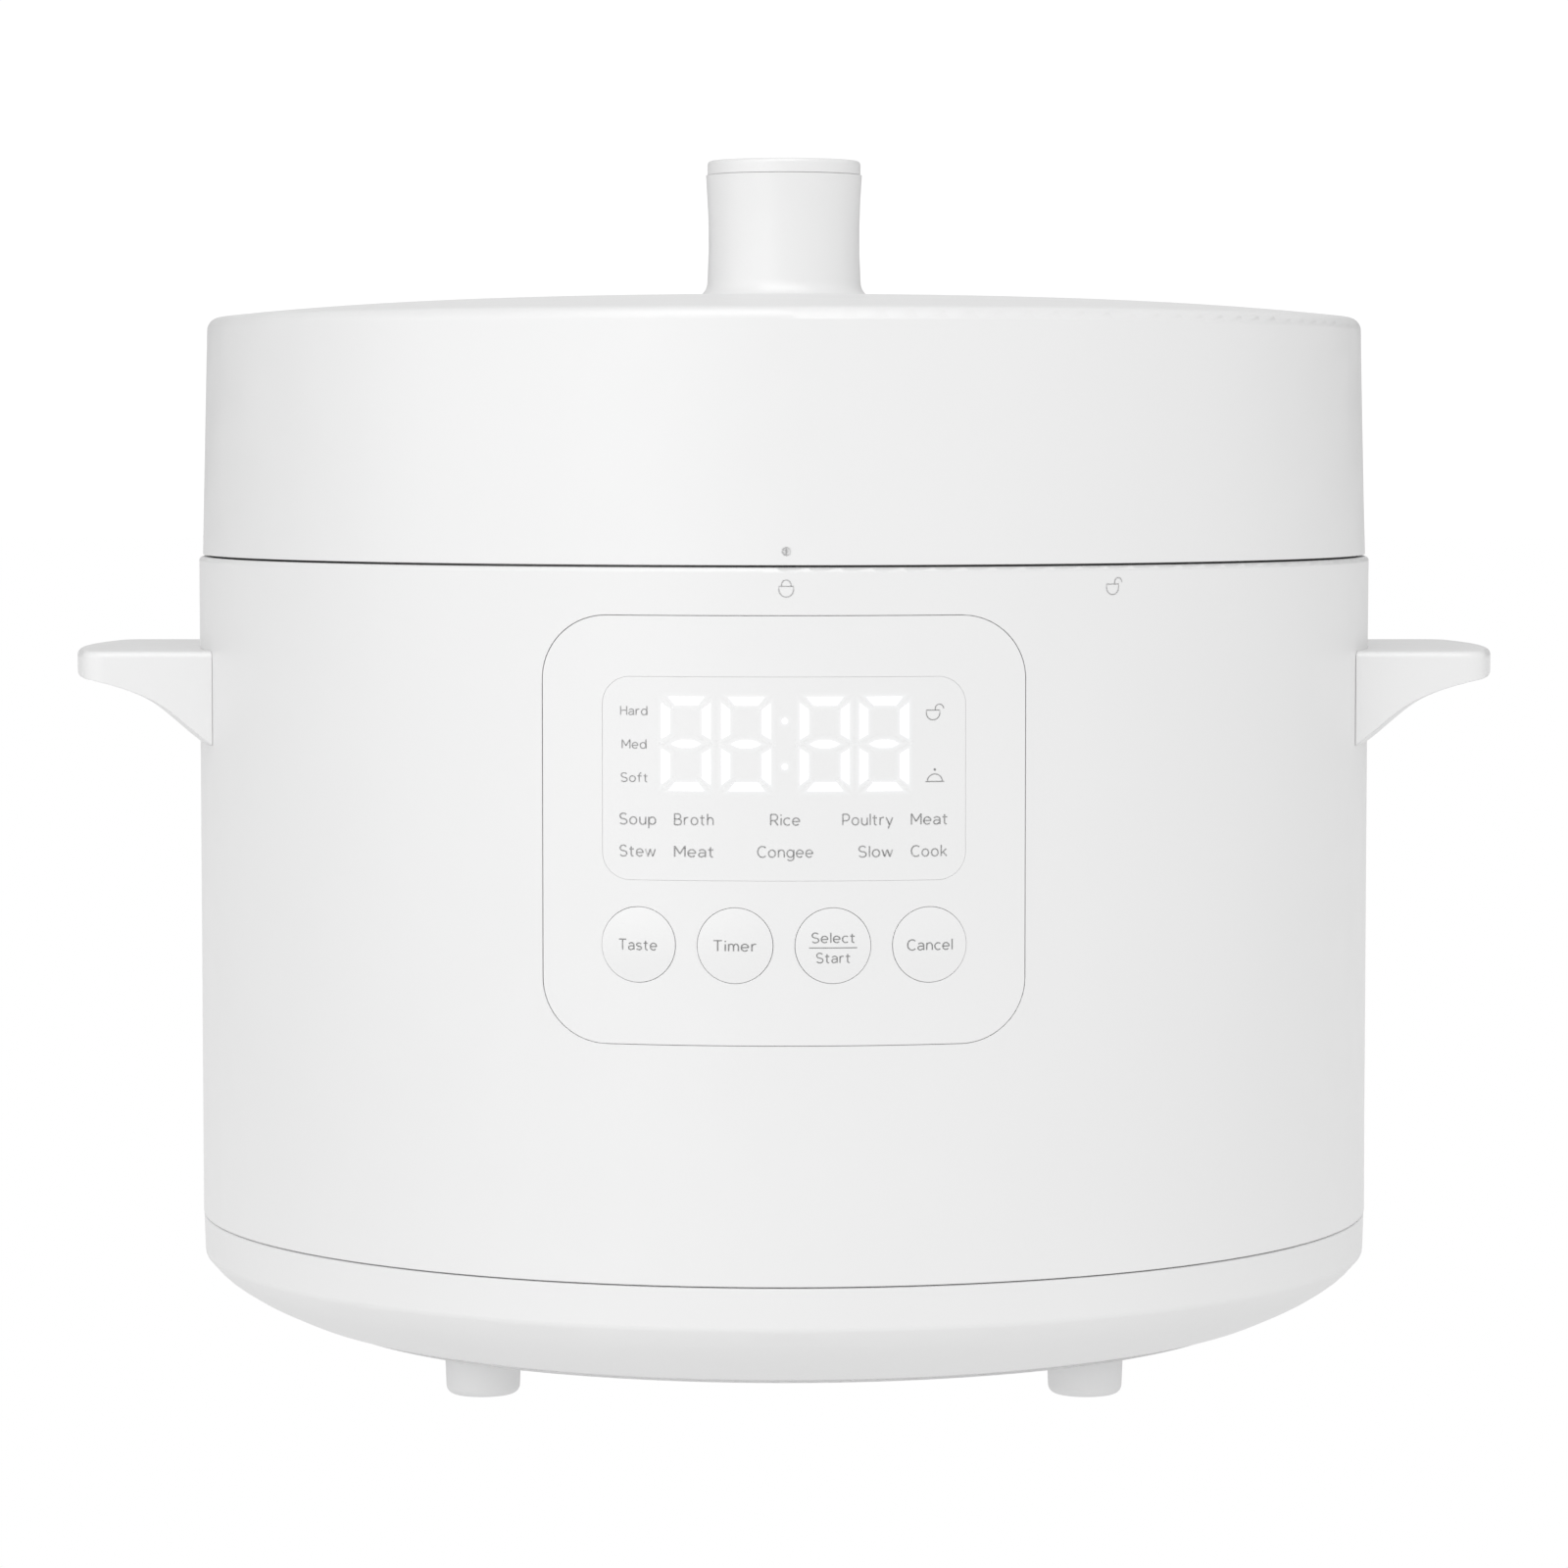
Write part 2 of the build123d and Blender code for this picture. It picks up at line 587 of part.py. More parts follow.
def heating_element():
    """Tubular element, bent to an open ring in the groove under the plate, with its two ends."""
    profile = Plane.XZ * Pos(ELEMENT_RADIUS, HEATER_BOTTOM) * Circle(ELEMENT_TUBE)
    bent = revolve(profile, Axis.Z, revolution_arc=360 - 2 * ELEMENT_GAP)
    return Rot(0, 0, ELEMENT_GAP - 90) * bent


def heater_terminals():
    pins = [Pos(x, y) * disc(2.4, 36, HEATER_BOTTOM - ELEMENT_TUBE) for x, y in terminal_spots()]
    return Compound(children=pins)


def elastic_plate():
    """Sprung steel disc under the housing that yields a little as the pot is pressed down."""
    plate = ring(55, 20, 42.2, HOUSING_BOTTOM)
    for angle in (0, 120, 240):
        x, y = spot(46, angle)
        plate -= Pos(x, y) * disc(2.1, 41, 45)
    for angle in (60, 180, 300):
        plate -= sector(42, 30, 41, 45, 70, angle)
    return plate


def elastic_plate_screws():
    body = screw(3.6, 2.4, 2.0, 1.7)
    return Compound(children=[Pos(*spot(46, angle), 42.2) * body for angle in (0, 120, 240)])


def pressure_switch():
    """Snap switch in a small box under the elastic plate, with an adjusting stud."""
    body = block(-14, 14, 26, 42, 27, 38)
    body += Pos(0, 34) * disc(2.5, 37, 42.0)
    for x in (-9, 9):
        body += block(x - 2.4, x + 2.4, 42, 49, 29.5, 30.3)
    return body


def sensor_bracket():
    """Steel bridge below the housing that holds the sensor's spring."""
    bridge = block(-24, 24, -8, 8, SENSOR_BRIDGE - 1.2, SENSOR_BRIDGE)
    bridge += block(20.2, 24, -8, 8, SENSOR_BRIDGE - 1.2, 42.1)
    bridge += block(-24, -20.2, -8, 8, SENSOR_BRIDGE - 1.2, 42.1)
    bridge += disc(6.0, SENSOR_BRIDGE, SENSOR_BRIDGE + 3.0)
    return bridge - disc(3.4, SENSOR_BRIDGE - 5, SENSOR_BRIDGE + 5)


def sensor_spring():
    """Compression spring between the bridge and the sensor cup."""
    bottom = SENSOR_BRIDGE + 0.6
    height = SENSOR_TOP - 9.5 - bottom - 1.4
    coil_radius = 8.0
    path = Helix(pitch=height / 4, height=height, radius=coil_radius)
    section = Plane(origin=path @ 0, z_dir=path % 0) * Circle(0.5)
    return Pos(0, 0, bottom + 0.6) * sweep(section, path=path)


def sensor_cup():
    """Aluminium cap that is pressed against the pot, with its guide stem."""
    cup = ring(SENSOR_RADIUS, SENSOR_RADIUS - 1.2, SENSOR_TOP - 9.5, SENSOR_TOP)
    cup += disc(SENSOR_RADIUS, SENSOR_TOP - 2.0, SENSOR_TOP)
    cup += disc(SENSOR_RADIUS, SENSOR_TOP - 9.5, SENSOR_TOP - 8.3)
    return cup + disc(3.0, SENSOR_BRIDGE - 6, SENSOR_TOP - 9)


def thermal_fuse():
    body = Pos(38, 0, 49.5) * Rot(90, 0, 0) * Cylinder(2.2, 14)
    lead = Pos(38, 0, 49.5) * Rot(90, 0, 0) * Cylinder(0.6, 26)
    return body + lead


def fuse_clip():
    """Sprung strap that holds the fuse against the heating plate."""
    strap = block(31, 45, -4, 4, 46.1, 46.9)
    strap += block(44.2, 45, -4, 4, 46.1, HEATER_BOTTOM)
    return strap + block(31, 31.8, -4, 4, 46.1, HEATER_BOTTOM)


# ------------------------------------------------------------------ power parts
def power_board():
    board = block(-43, 43, -73, -13, POWER_BOARD_Z, POWER_BOARD_Z + POWER_BOARD_THICK)
    for x, y in board_posts():
        board -= Pos(x, y) * disc(1.6, POWER_BOARD_Z - 1, POWER_BOARD_Z + 3)
    return board


def board_top():
    return POWER_BOARD_Z + POWER_BOARD_THICK


def power_relay():
    body = block(20, 40, -62, -46, board_top(), board_top() + 15)
    return fillet(body.edges().group_by(Axis.Z)[-1], 0.8)


def power_transformer():
    """Small transformer: a laminated core round a wound bobbin."""
    core = block(-32, -12, -42, -24, board_top(), board_top() + 14)
    core -= block(-33, -11, -39, -27, board_top() + 3.5, board_top() + 10.5)
    bobbin = block(-30, -14, -40.5, -25.5, board_top() + 4.5, board_top() + 9.5)
    return core + block(-25, -19, -42, -24, board_top(), board_top() + 14) + bobbin


def board_capacitor():
    body = Pos(2, -30) * disc(6.5, board_top(), board_top() + 14)
    top = body.edges().group_by(Axis.Z)[-1]
    return fillet(top, 0.8)


def power_board_screws():
    body = Rot(180, 0, 0) * screw(2.8, 1.6, 1.15, 6.4)
    return Compound(children=[Pos(x, y, board_top()) * body for x, y in board_posts()])


def ribbon_cable():
    """Flat cable from the control board down to the power board."""
    bends = ((0, -119.2, 92), (0, -119.2, 40), (0, -96, 24.5), (0, -70, 24.5), (0, -70, board_top()))
    route = FilletPolyline(*bends, radius=4)
    section = Plane(origin=route @ 0, z_dir=route % 0, x_dir=(1, 0, 0)) * Rectangle(14, 0.9)
    return Pos(26, 0, 0) * sweep(section, path=route)


def wire(*points):
    """Round insulated wire along straight runs with rounded bends."""
    route = FilletPolyline(*points, radius=4)
    section = Plane(origin=route @ 0, z_dir=route % 0) * Circle(1.2)
    return sweep(section, path=route)


def heater_wires():
    wires = []
    for x, y in terminal_spots():
        wires.append(wire((x, y, 36), (x, y, 26), (x, y + 14, 26), (x, y + 14, board_top())))
    return Compound(children=wires)


def mains_wires():
    wires = []
    for side in (-1, 1):
        x = side * PIN_SPACING * 1.3
        wires.append(wire((x, 117.2, 41.5), (x, 117.2, 24.5), (x, -17, 24.5), (x, -17, board_top())))
    return Compound(children=wires)


# ------------------------------------------------------------------ mains inlet
def mains_inlet():
    """Snap-in appliance inlet: a flat flange, a deep socket and two spring latches."""
    low = INLET_Z - INLET_HEIGHT / 2 + 0.2
    high = INLET_Z + INLET_HEIGHT / 2 - 0.2
    flange = front_prism(INLET_HALF - 0.2, low, high, SIDE_CORNER - 0.2, INLET_FACE - 2.6, INLET_FACE)
    body = front_prism(14.0, INLET_Z - 10.5, INLET_Z + 10.5, 3.5, INLET_BACK, INLET_FACE - 2)
    socket = front_prism(12.2, INLET_Z - 8.3, INLET_Z + 8.3, 3, INLET_BACK + 2.6, INLET_FACE + 1)
    latches = block(-26.6, -23, -133.2, -127, INLET_Z - 5, INLET_Z + 5)
    latches += block(23, 26.6, -133.2, -127, INLET_Z - 5, INLET_Z + 5)
    arms = block(-26.6, 26.6, -(INLET_FACE - 2.4), -131.2, INLET_Z - 5, INLET_Z + 5)
    arms = arms & block(-24.6, 24.6, -140, -120, 0, 100)
    whole = flange + body + latches + arms - socket
    for x, z in pin_spots():
        whole -= block(x - 1.05, x + 1.05, -INLET_FACE, -INLET_BACK + 1, z - 2.05, z + 2.05)
    return around(whole, 180)


def pin_spots():
    """Line, neutral and earth: two pins below the middle and one above it."""
    return [(-PIN_SPACING, INLET_Z - 2.0), (0, INLET_Z + 2.5), (PIN_SPACING, INLET_Z - 2.0)]


def inlet_pins():
    """Flat contact pins, each bent down to a tab behind the inlet."""
    pins = []
    for x, z in pin_spots():
        pin = block(x - 1, x + 1, -131.0, -116.8, z - 2, z + 2)
        pin += block(x * 1.3 - 1 - abs(x) * 0.3, x * 1.3 + 1 + abs(x) * 0.3, -117.8, -116.8, 43, z + 2)
        pins.append(around(pin, 180))
    return Compound(children=pins)


# ------------------------------------------------------------------ lid
def corner_end():
    """Radius at which the lid's rounded corner meets its dome."""
    return LID_TOP_RADIUS - SIDE_CORNER + SIDE_CORNER * cos(radians(84))


def lid_cover():
    """Moulded lid: straight side, shallow dome and hollow knob post with its steam slots."""
    end = corner_end()
    corner_z = dome(end) - SIDE_CORNER * sin(radians(84))
    dome_end = KNOB_RADIUS + KNOB_FILLET
    fillet_z = dome(dome_end) + KNOB_FILLET
    inner_side = LID_TOP_RADIUS - WALL
    skin = turned(
        Polyline(at(LID_RADIUS - WALL, LID_BOTTOM), at(LID_RADIUS, LID_BOTTOM), at(LID_TOP_RADIUS, corner_z)),
        arc(LID_TOP_RADIUS - SIDE_CORNER, corner_z, SIDE_CORNER, 0, 84),
        dome_curve(end, dome_end, 0),
        arc(dome_end, fillet_z, KNOB_FILLET, 270, 180),
        Spline(
            at(KNOB_RADIUS, fillet_z),
            at(KNOB_WAIST, KNOB_WAIST_Z),
            at(KNOB_FLARE, KNOB_FLARE_Z),
            at(KNOB_LIP, KNOB_TOP),
        ),
        Polyline(
            at(KNOB_LIP, KNOB_TOP),
            at(CAP_SEAT, KNOB_TOP),
            at(CAP_SEAT, CAP_SEAT_Z),
            at(KNOB_BORE, CAP_SEAT_Z),
            at(KNOB_BORE, KNOB_FLOOR),
            at(4.4, KNOB_FLOOR),
            at(4.4, KNOB_FLOOR - WALL),
            at(KNOB_BORE + 1, KNOB_FLOOR - WALL),
            at(KNOB_BORE + 1, dome(KNOB_BORE + 1) - WALL),
        ),
        dome_curve(KNOB_BORE + 1, inner_side, WALL),
        Polyline(at(inner_side, dome(inner_side) - WALL), at(LID_RADIUS - WALL, LID_BOTTOM)),
    )
    for step in range(LUG_COUNT):
        x, y = spot(SCREW_CIRCLE, (step + 0.5) * 360 / LUG_COUNT)
        skin += Pos(x, y) * disc(4.0, PLATE_TOP, dome(SCREW_CIRCLE) - 1)
        skin -= Pos(x, y) * disc(1.45, PLATE_TOP - 1, PLATE_TOP + 14)
    depths = (KNOB_BORE - 2, KNOB_RADIUS + 2)
    slot = front_prism(STEAM_SLOT_HALF, STEAM_SLOT_BOTTOM, STEAM_SLOT_TOP, STEAM_SLOT_HALF - 0.1, *depths)
    for angle in STEAM_SLOT_ANGLES:
        skin -= around(slot, angle)
    return skin


def knob_cap():
    """Lift-off cap over the valve, with a skirt that sits in the knob's seat."""
    top = turned(
        Polyline(at(0, CAP_BOTTOM), at(CAP_RADIUS, CAP_BOTTOM), at(CAP_RADIUS, CAP_TOP - CAP_EDGE)),
        arc(CAP_RADIUS - CAP_EDGE, CAP_TOP - CAP_EDGE, CAP_EDGE, 0, 90),
        Polyline(at(CAP_RADIUS - CAP_EDGE, CAP_TOP), at(0, CAP_TOP), at(0, CAP_BOTTOM)),
    )
    return top + ring(CAP_SEAT - 0.3, CAP_SEAT - 2.0, CAP_SEAT_Z + 0.6, CAP_BOTTOM + 0.5)


def lid_plate():
    """Pressed metal lid with a deep skirt, seal guides and bayonet lugs that turn inward."""
    plate = turned(
        Polyline(at(5.2, PLATE_BOTTOM), at(5.2, PLATE_TOP), at(SKIRT_OUTER - 3, PLATE_TOP)),
        arc(SKIRT_OUTER - 3, PLATE_TOP - 3, 3, 90, 0),
        Polyline(
            at(SKIRT_OUTER, PLATE_TOP - 3),
            at(SKIRT_OUTER, SKIRT_BOTTOM),
            at(SKIRT_INNER, SKIRT_BOTTOM),
            at(SKIRT_INNER, PLATE_BOTTOM),
            at(5.2, PLATE_BOTTOM),
        ),
    )
    plate += ring(108.5, 106.9, 198, PLATE_BOTTOM + 0.5)
    plate += ring(123.6, 122.0, 202, PLATE_BOTTOM + 0.5)
    for step in range(LUG_COUNT):
        plate += sector(SKIRT_INNER + 0.5, LID_LUG_INNER, LID_LUG_BOTTOM, LID_LUG_TOP, LUG_WIDTH,
                        step * 360 / LUG_COUNT)
        x, y = spot(SCREW_CIRCLE, (step + 0.5) * 360 / LUG_COUNT)
        plate -= Pos(x, y) * disc(1.6, PLATE_BOTTOM - 1, PLATE_TOP + 1)
    return plate - Pos(FLOAT_X, 0) * disc(4.4, PLATE_BOTTOM - 1, PLATE_TOP + 1)


def lid_screws():
    body = screw(3.0, 2.0, 1.4, 15)
    places = [spot(SCREW_CIRCLE, (step + 0.5) * 360 / LUG_COUNT) for step in range(LUG_COUNT)]
    return Compound(children=[Pos(x, y, PLATE_BOTTOM) * body for x, y in places])


def sealing_ring():
    """Silicone ring with two lips, between the pot's rim and the lid plate."""
    low = POT_RIM + 0.35
    high = PLATE_BOTTOM - 0.35
    body = ring(121.4, 109.2, low, high)
    return body - ring(119.0, 111.8, low + 1.8, high - 1.8) - ring(113, 108, low + 1.8, high - 1.8)


def exhaust_pipe():
    """Steam pipe from the lid plate up to the valve seat inside the knob."""
    pipe = disc(5.0, 197.5, PLATE_TOP) + disc(9.0, PLATE_TOP, PLATE_TOP + 2) + disc(4.0, PLATE_TOP, 262.5)
    pipe += Pos(0, 0, 263.25) * Cone(4.0, 2.6, 1.5)
    return pipe - disc(1.8, 196, 266)


def exhaust_nut():
    nut = extrude(RegularPolygon(8.6, 6), amount=PLATE_BOTTOM - 202.4)
    return Pos(0, 0, 202.4) * nut - disc(5.05, 200, 208)


def anti_block_shield():
    """Slotted cup that keeps food out of the pipe's lower end."""
    cup = ring(14.0, 13.0, 190.0, 202.4) + ring(14.0, 5.1, 201.4, 202.4) + disc(14.0, 190.0, 191.0)
    for step in range(12):
        cup -= around(block(-1.1, 1.1, -16, -11, 193, 199.5), step * 30)
    return cup


def exhaust_weight():
    """Valve weight that sits over the pipe's tip and lifts to let steam out."""
    body = turned(
        Polyline(at(0, 264.35), at(4.6, 264.35), at(4.6, 260.5), at(10.0, 260.5)),
        Polyline(at(10.0, 260.5), at(11.0, 261.5), at(11.0, 270.0)),
        arc(9.0, 270.0, 2.0, 0, 90),
        Polyline(at(9.0, 272.0), at(0, 272.0), at(0, 264.35)),
    )
    return body


def float_seal():
    body = disc(7.0, 203.6, PLATE_BOTTOM) + disc(4.35, 203.6, PLATE_TOP)
    return Pos(FLOAT_X, 0) * (body - disc(3.4, 203, PLATE_TOP + 1))


def float_pin():
    body = disc(5.5, 197.5, 199.0) + disc(3.05, 198, 213) + disc(5.0, PLATE_TOP + 0.35, PLATE_TOP + 1.6)
    return Pos(FLOAT_X, 0) * body


# ------------------------------------------------------------------ all nodes
nodes = {
    "outer_shell": outer_shell(),
    "control_panel": control_panel(),
    "display_lens": display_lens(),
    "panel_frame": panel_frame(),
    "light_box": light_box(),
    "display_leds": display_leds(),
    "control_board": control_board(),
    "control_chip": control_chip(),
    "tact_switches": tact_switches(),
    "board_screws": board_screws(),
    "handle_right": handle(),
    "handle_left": Rot(0, 0, 180) * handle(),
    "handle_screws": handle_screws(),
    "base_cover": base_cover(),
    "foot_front_left": foot(-FOOT_PLACE, -FOOT_PLACE),
    "foot_front_right": foot(FOOT_PLACE, -FOOT_PLACE),
    "foot_rear_left": foot(-FOOT_PLACE, FOOT_PLACE),
    "foot_rear_right": foot(FOOT_PLACE, FOOT_PLACE),
    "base_screws": base_screws(),
    "rating_plate": rating_plate(),
    "top_ring": top_ring(),
    "outer_pot": outer_pot(),
    "inner_pot": inner_pot(),
    "heating_plate": heating_plate(),
    "heating_element": heating_element(),
    "heater_terminals": heater_terminals(),
    "elastic_plate": elastic_plate(),
    "elastic_plate_screws": elastic_plate_screws(),
    "pressure_switch": pressure_switch(),
    "sensor_bracket": sensor_bracket(),
    "sensor_spring": sensor_spring(),
    "sensor_cup": sensor_cup(),
    "thermal_fuse": thermal_fuse(),
    "fuse_clip": fuse_clip(),
    "power_board": power_board(),
    "power_relay": power_relay(),
    "power_transformer": power_transformer(),
    "board_capacitor": board_capacitor(),
    "power_board_screws": power_board_screws(),
    "ribbon_cable": ribbon_cable(),
    "heater_wires": heater_wires(),
    "mains_wires": mains_wires(),
    "mains_inlet": mains_inlet(),
    "inlet_pins": inlet_pins(),
    "lid_cover": lid_cover(),
    "knob_cap": knob_cap(),
    "lid_plate": lid_plate(),
    "lid_screws": lid_screws(),
    "sealing_ring": sealing_ring(),
    "exhaust_pipe": exhaust_pipe(),
    "exhaust_nut": exhaust_nut(),
    "anti_block_shield": anti_block_shield(),
    "exhaust_weight": exhaust_weight(),
    "float_seal": float_seal(),
    "float_pin": float_pin(),
}
for name, angle in zip(BUTTON_NAMES, BUTTON_ANGLES):
    nodes[name] = button(angle)

os.makedirs("parts", exist_ok=True)
for name, shape in nodes.items():
    export_step(shape, f"parts/{name}.step")
print(len(nodes), "nodes written")
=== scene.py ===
# %% [markdown]
# An electric pressure cooker for the kitchen counter: a white moulded drum, a domed lid that
# turns to lock, a hollow knob over the steam valve, two side handles, four keys and a lit clock.
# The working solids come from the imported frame. This lesson gives them their finishes, lights
# them, and adds the marks that are printed or lit on the front.

# %% open the frame
import json
import math

import bmesh
import bpy
from mathutils import Matrix, Vector


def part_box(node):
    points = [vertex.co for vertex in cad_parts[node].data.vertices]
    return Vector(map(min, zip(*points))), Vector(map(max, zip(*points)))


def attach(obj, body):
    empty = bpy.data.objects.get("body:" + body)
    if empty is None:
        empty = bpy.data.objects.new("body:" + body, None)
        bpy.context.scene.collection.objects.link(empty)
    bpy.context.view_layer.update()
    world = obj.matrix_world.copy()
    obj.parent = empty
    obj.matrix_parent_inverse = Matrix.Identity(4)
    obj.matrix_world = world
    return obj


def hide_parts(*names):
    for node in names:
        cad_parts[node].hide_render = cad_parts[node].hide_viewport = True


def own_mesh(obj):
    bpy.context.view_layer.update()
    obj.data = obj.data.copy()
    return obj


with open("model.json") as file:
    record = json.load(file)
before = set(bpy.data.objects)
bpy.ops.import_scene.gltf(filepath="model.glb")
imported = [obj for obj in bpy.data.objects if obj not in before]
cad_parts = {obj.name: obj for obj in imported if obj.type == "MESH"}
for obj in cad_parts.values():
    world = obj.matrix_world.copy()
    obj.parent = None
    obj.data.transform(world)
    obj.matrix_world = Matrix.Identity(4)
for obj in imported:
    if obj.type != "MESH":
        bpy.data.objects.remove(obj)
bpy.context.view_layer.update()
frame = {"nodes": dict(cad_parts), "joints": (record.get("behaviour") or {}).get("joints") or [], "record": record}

MM = 0.001
scene = bpy.context.scene
nodes = frame["nodes"]
joints = {joint["name"]: joint for joint in frame["joints"]}
print("opened", len(nodes), "nodes")

# %% [markdown]
# The camera stands well back with a long lens, as for a catalogue picture, a little above the
# middle of the cooker and tipped down a few degrees. A long lens keeps the sides of the drum
# nearly parallel. A short lens from close by would show more of the lid and swell the front.

# %% camera
FOCAL_LENGTH = 128.73
SENSOR_WIDTH = 36.0
SIGHT_LIMIT = 60.0
CAMERA_PLACE = (0.0, -1.34106, 0.21658)
CAMERA_TIP = 3.469

lens = bpy.data.cameras.new("long_lens")
lens.lens = FOCAL_LENGTH
lens.sensor_width = SENSOR_WIDTH
lens.clip_end = SIGHT_LIMIT
camera = bpy.data.objects.new("camera", lens)
scene.collection.objects.link(camera)
camera.location = CAMERA_PLACE
camera.rotation_euler = (math.radians(90 - CAMERA_TIP), 0.0, 0.0)
scene.camera = camera
scene.view_settings.view_transform = "Standard"
print("camera", tuple(camera.location))

# %% [markdown]
# A node group holds an effect that several finishes share, with a few named inputs. The first
# one is the skin of a moulded part: a very fine grain left by the spark-eroded tool, a slow
# drift of tone over hand widths, and patches where the surface is a touch glossier. Noise in
# object space does all three, because the parts have no unwrapped maps and need none.

# %% group helpers
def new_group(name, inputs, outputs):
    """Shader node group with float inputs and the outputs asked for."""
    group = bpy.data.node_groups.new(name, "ShaderNodeTree")
    for label, value in inputs:
        socket = group.interface.new_socket(label, in_out="INPUT", socket_type="NodeSocketFloat")
        socket.default_value = value
    for label, kind in outputs:
        group.interface.new_socket(label, in_out="OUTPUT", socket_type=kind)
    entry = group.nodes.new("NodeGroupInput")
    end = group.nodes.new("NodeGroupOutput")
    return group, entry, end


def noise(tree, scale, detail, place=None):
    """Noise texture in a node tree, fed from a place output if one is given."""
    texture = tree.nodes.new("ShaderNodeTexNoise")
    texture.inputs["Detail"].default_value = detail
    if isinstance(scale, (int, float)):
        texture.inputs["Scale"].default_value = scale
    else:
        tree.links.new(scale, texture.inputs["Scale"])
    if place is not None:
        tree.links.new(place, texture.inputs["Vector"])
    return texture


def spread(tree, value, low, high, to_low=0.0, to_high=1.0):
    """Map a value from one range to another, held within its ends."""
    mapper = tree.nodes.new("ShaderNodeMapRange")
    mapper.inputs["From Min"].default_value = low
    mapper.inputs["From Max"].default_value = high
    mapper.inputs["To Min"].default_value = to_low
    mapper.inputs["To Max"].default_value = to_high
    tree.links.new(value, mapper.inputs["Value"])
    return mapper.outputs["Result"]


def maths(tree, operation, first, second):
    """One arithmetic step. Either value may be a number or a socket."""
    step = tree.nodes.new("ShaderNodeMath")
    step.operation = operation
    for socket, value in zip(step.inputs, (first, second)):
        if isinstance(value, (int, float)):
            socket.default_value = value
        else:
            tree.links.new(value, socket)
    return step.outputs["Value"]


# %% moulded skin group
FLOAT = "NodeSocketFloat"
RUB_SCALE = 95.0

moulded_skin, entry, end = new_group(
    "moulded skin",
    (("Grain Scale", 1800.0), ("Patch Scale", 14.0)),
    (("Height", FLOAT), ("Tone", FLOAT), ("Gloss", FLOAT)),
)
place = moulded_skin.nodes.new("ShaderNodeTexCoord").outputs["Object"]
grain = noise(moulded_skin, entry.outputs["Grain Scale"], 3.0, place)
patches = noise(moulded_skin, entry.outputs["Patch Scale"], 4.0, place)
rubs = noise(moulded_skin, RUB_SCALE, 5.0, place)
moulded_skin.links.new(grain.outputs["Fac"], end.inputs["Height"])
moulded_skin.links.new(spread(moulded_skin, patches.outputs["Fac"], 0.3, 0.7), end.inputs["Tone"])
moulded_skin.links.new(spread(moulded_skin, rubs.outputs["Fac"], 0.35, 0.65), end.inputs["Gloss"])
print("group", moulded_skin.name)

# %% [markdown]
# Real mouldings have no perfectly sharp edge: the tool leaves a few tenths of a millimetre of
# rounding, and hands polish it. The Bevel node finds those edges. Its normal rounds them for
# the light, and where it departs from the true normal it gives a mask for the polish and for a
# painted highlight, a lighter colour laid on the edges.

# %% edge group: polish and painted highlight
EDGE_STARTS = 0.98
EDGE_FULL = 0.75

edge_polish_and_highlight, entry, end = new_group(
    "edge polish and painted highlight",
    (("Radius", 0.0003),),
    (("Edge", FLOAT), ("Normal", "NodeSocketVector")),
)
bevel = edge_polish_and_highlight.nodes.new("ShaderNodeBevel")
bevel.samples = 4
edge_polish_and_highlight.links.new(entry.outputs["Radius"], bevel.inputs["Radius"])
true_normal = edge_polish_and_highlight.nodes.new("ShaderNodeNewGeometry").outputs["Normal"]
likeness = edge_polish_and_highlight.nodes.new("ShaderNodeVectorMath")
likeness.operation = "DOT_PRODUCT"
edge_polish_and_highlight.links.new(bevel.outputs["Normal"], likeness.inputs[0])
edge_polish_and_highlight.links.new(true_normal, likeness.inputs[1])
edge_polish_and_highlight.links.new(spread(edge_polish_and_highlight, likeness.outputs["Value"], EDGE_STARTS, EDGE_FULL), end.inputs["Edge"])
edge_polish_and_highlight.links.new(bevel.outputs["Normal"], end.inputs["Normal"])
print("group", edge_polish_and_highlight.name)

# %% [markdown]
# Drawn and brushed metal has fine lines along one direction, and cast metal has a pebbled skin.
# Stretching the same noise along one axis turns pebbles into lines, so one group does both.

# %% metal lines group
BLOTCH_SCALE = 30.0

metal_lines, entry, end = new_group(
    "metal lines",
    (("Fineness", 900.0), ("Stretch", 40.0)),
    (("Height", FLOAT), ("Tone", FLOAT)),
)
place = metal_lines.nodes.new("ShaderNodeTexCoord").outputs["Object"]
parts = metal_lines.nodes.new("ShaderNodeSeparateXYZ")
metal_lines.links.new(place, parts.inputs["Vector"])
flat_x = maths(metal_lines, "DIVIDE", parts.outputs["X"], entry.outputs["Stretch"])
flat_y = maths(metal_lines, "DIVIDE", parts.outputs["Y"], entry.outputs["Stretch"])
joined = metal_lines.nodes.new("ShaderNodeCombineXYZ")
metal_lines.links.new(flat_x, joined.inputs["X"])
metal_lines.links.new(flat_y, joined.inputs["Y"])
metal_lines.links.new(parts.outputs["Z"], joined.inputs["Z"])
lines = noise(metal_lines, entry.outputs["Fineness"], 4.0, joined.outputs["Vector"])
blotches = noise(metal_lines, BLOTCH_SCALE, 4.0, place)
metal_lines.links.new(lines.outputs["Fac"], end.inputs["Height"])
metal_lines.links.new(spread(metal_lines, blotches.outputs["Fac"], 0.3, 0.7), end.inputs["Tone"])
print("group", metal_lines.name)

# %% [markdown]
# Every finish starts from the same small recipe: two close colours mixed by a slow tone, a
# roughness that wanders a little, and a fine bump. The shader itself stays in each material, so
# its plain numbers, such as the index of refraction, sit on its own sockets.

# %% finish helpers
EDGE_POLISH = 0.10
PLASTIC_IOR = 1.47


def grey(level):
    """Neutral colour of one level."""
    return (level, level, level)


def place_group(tree, group, **values):
    """Put a node group in a material, with its inputs set."""
    step = tree.nodes.new("ShaderNodeGroup")
    step.node_tree = group
    for label, value in values.items():
        step.inputs[label.replace("_", " ")].default_value = value
    return step


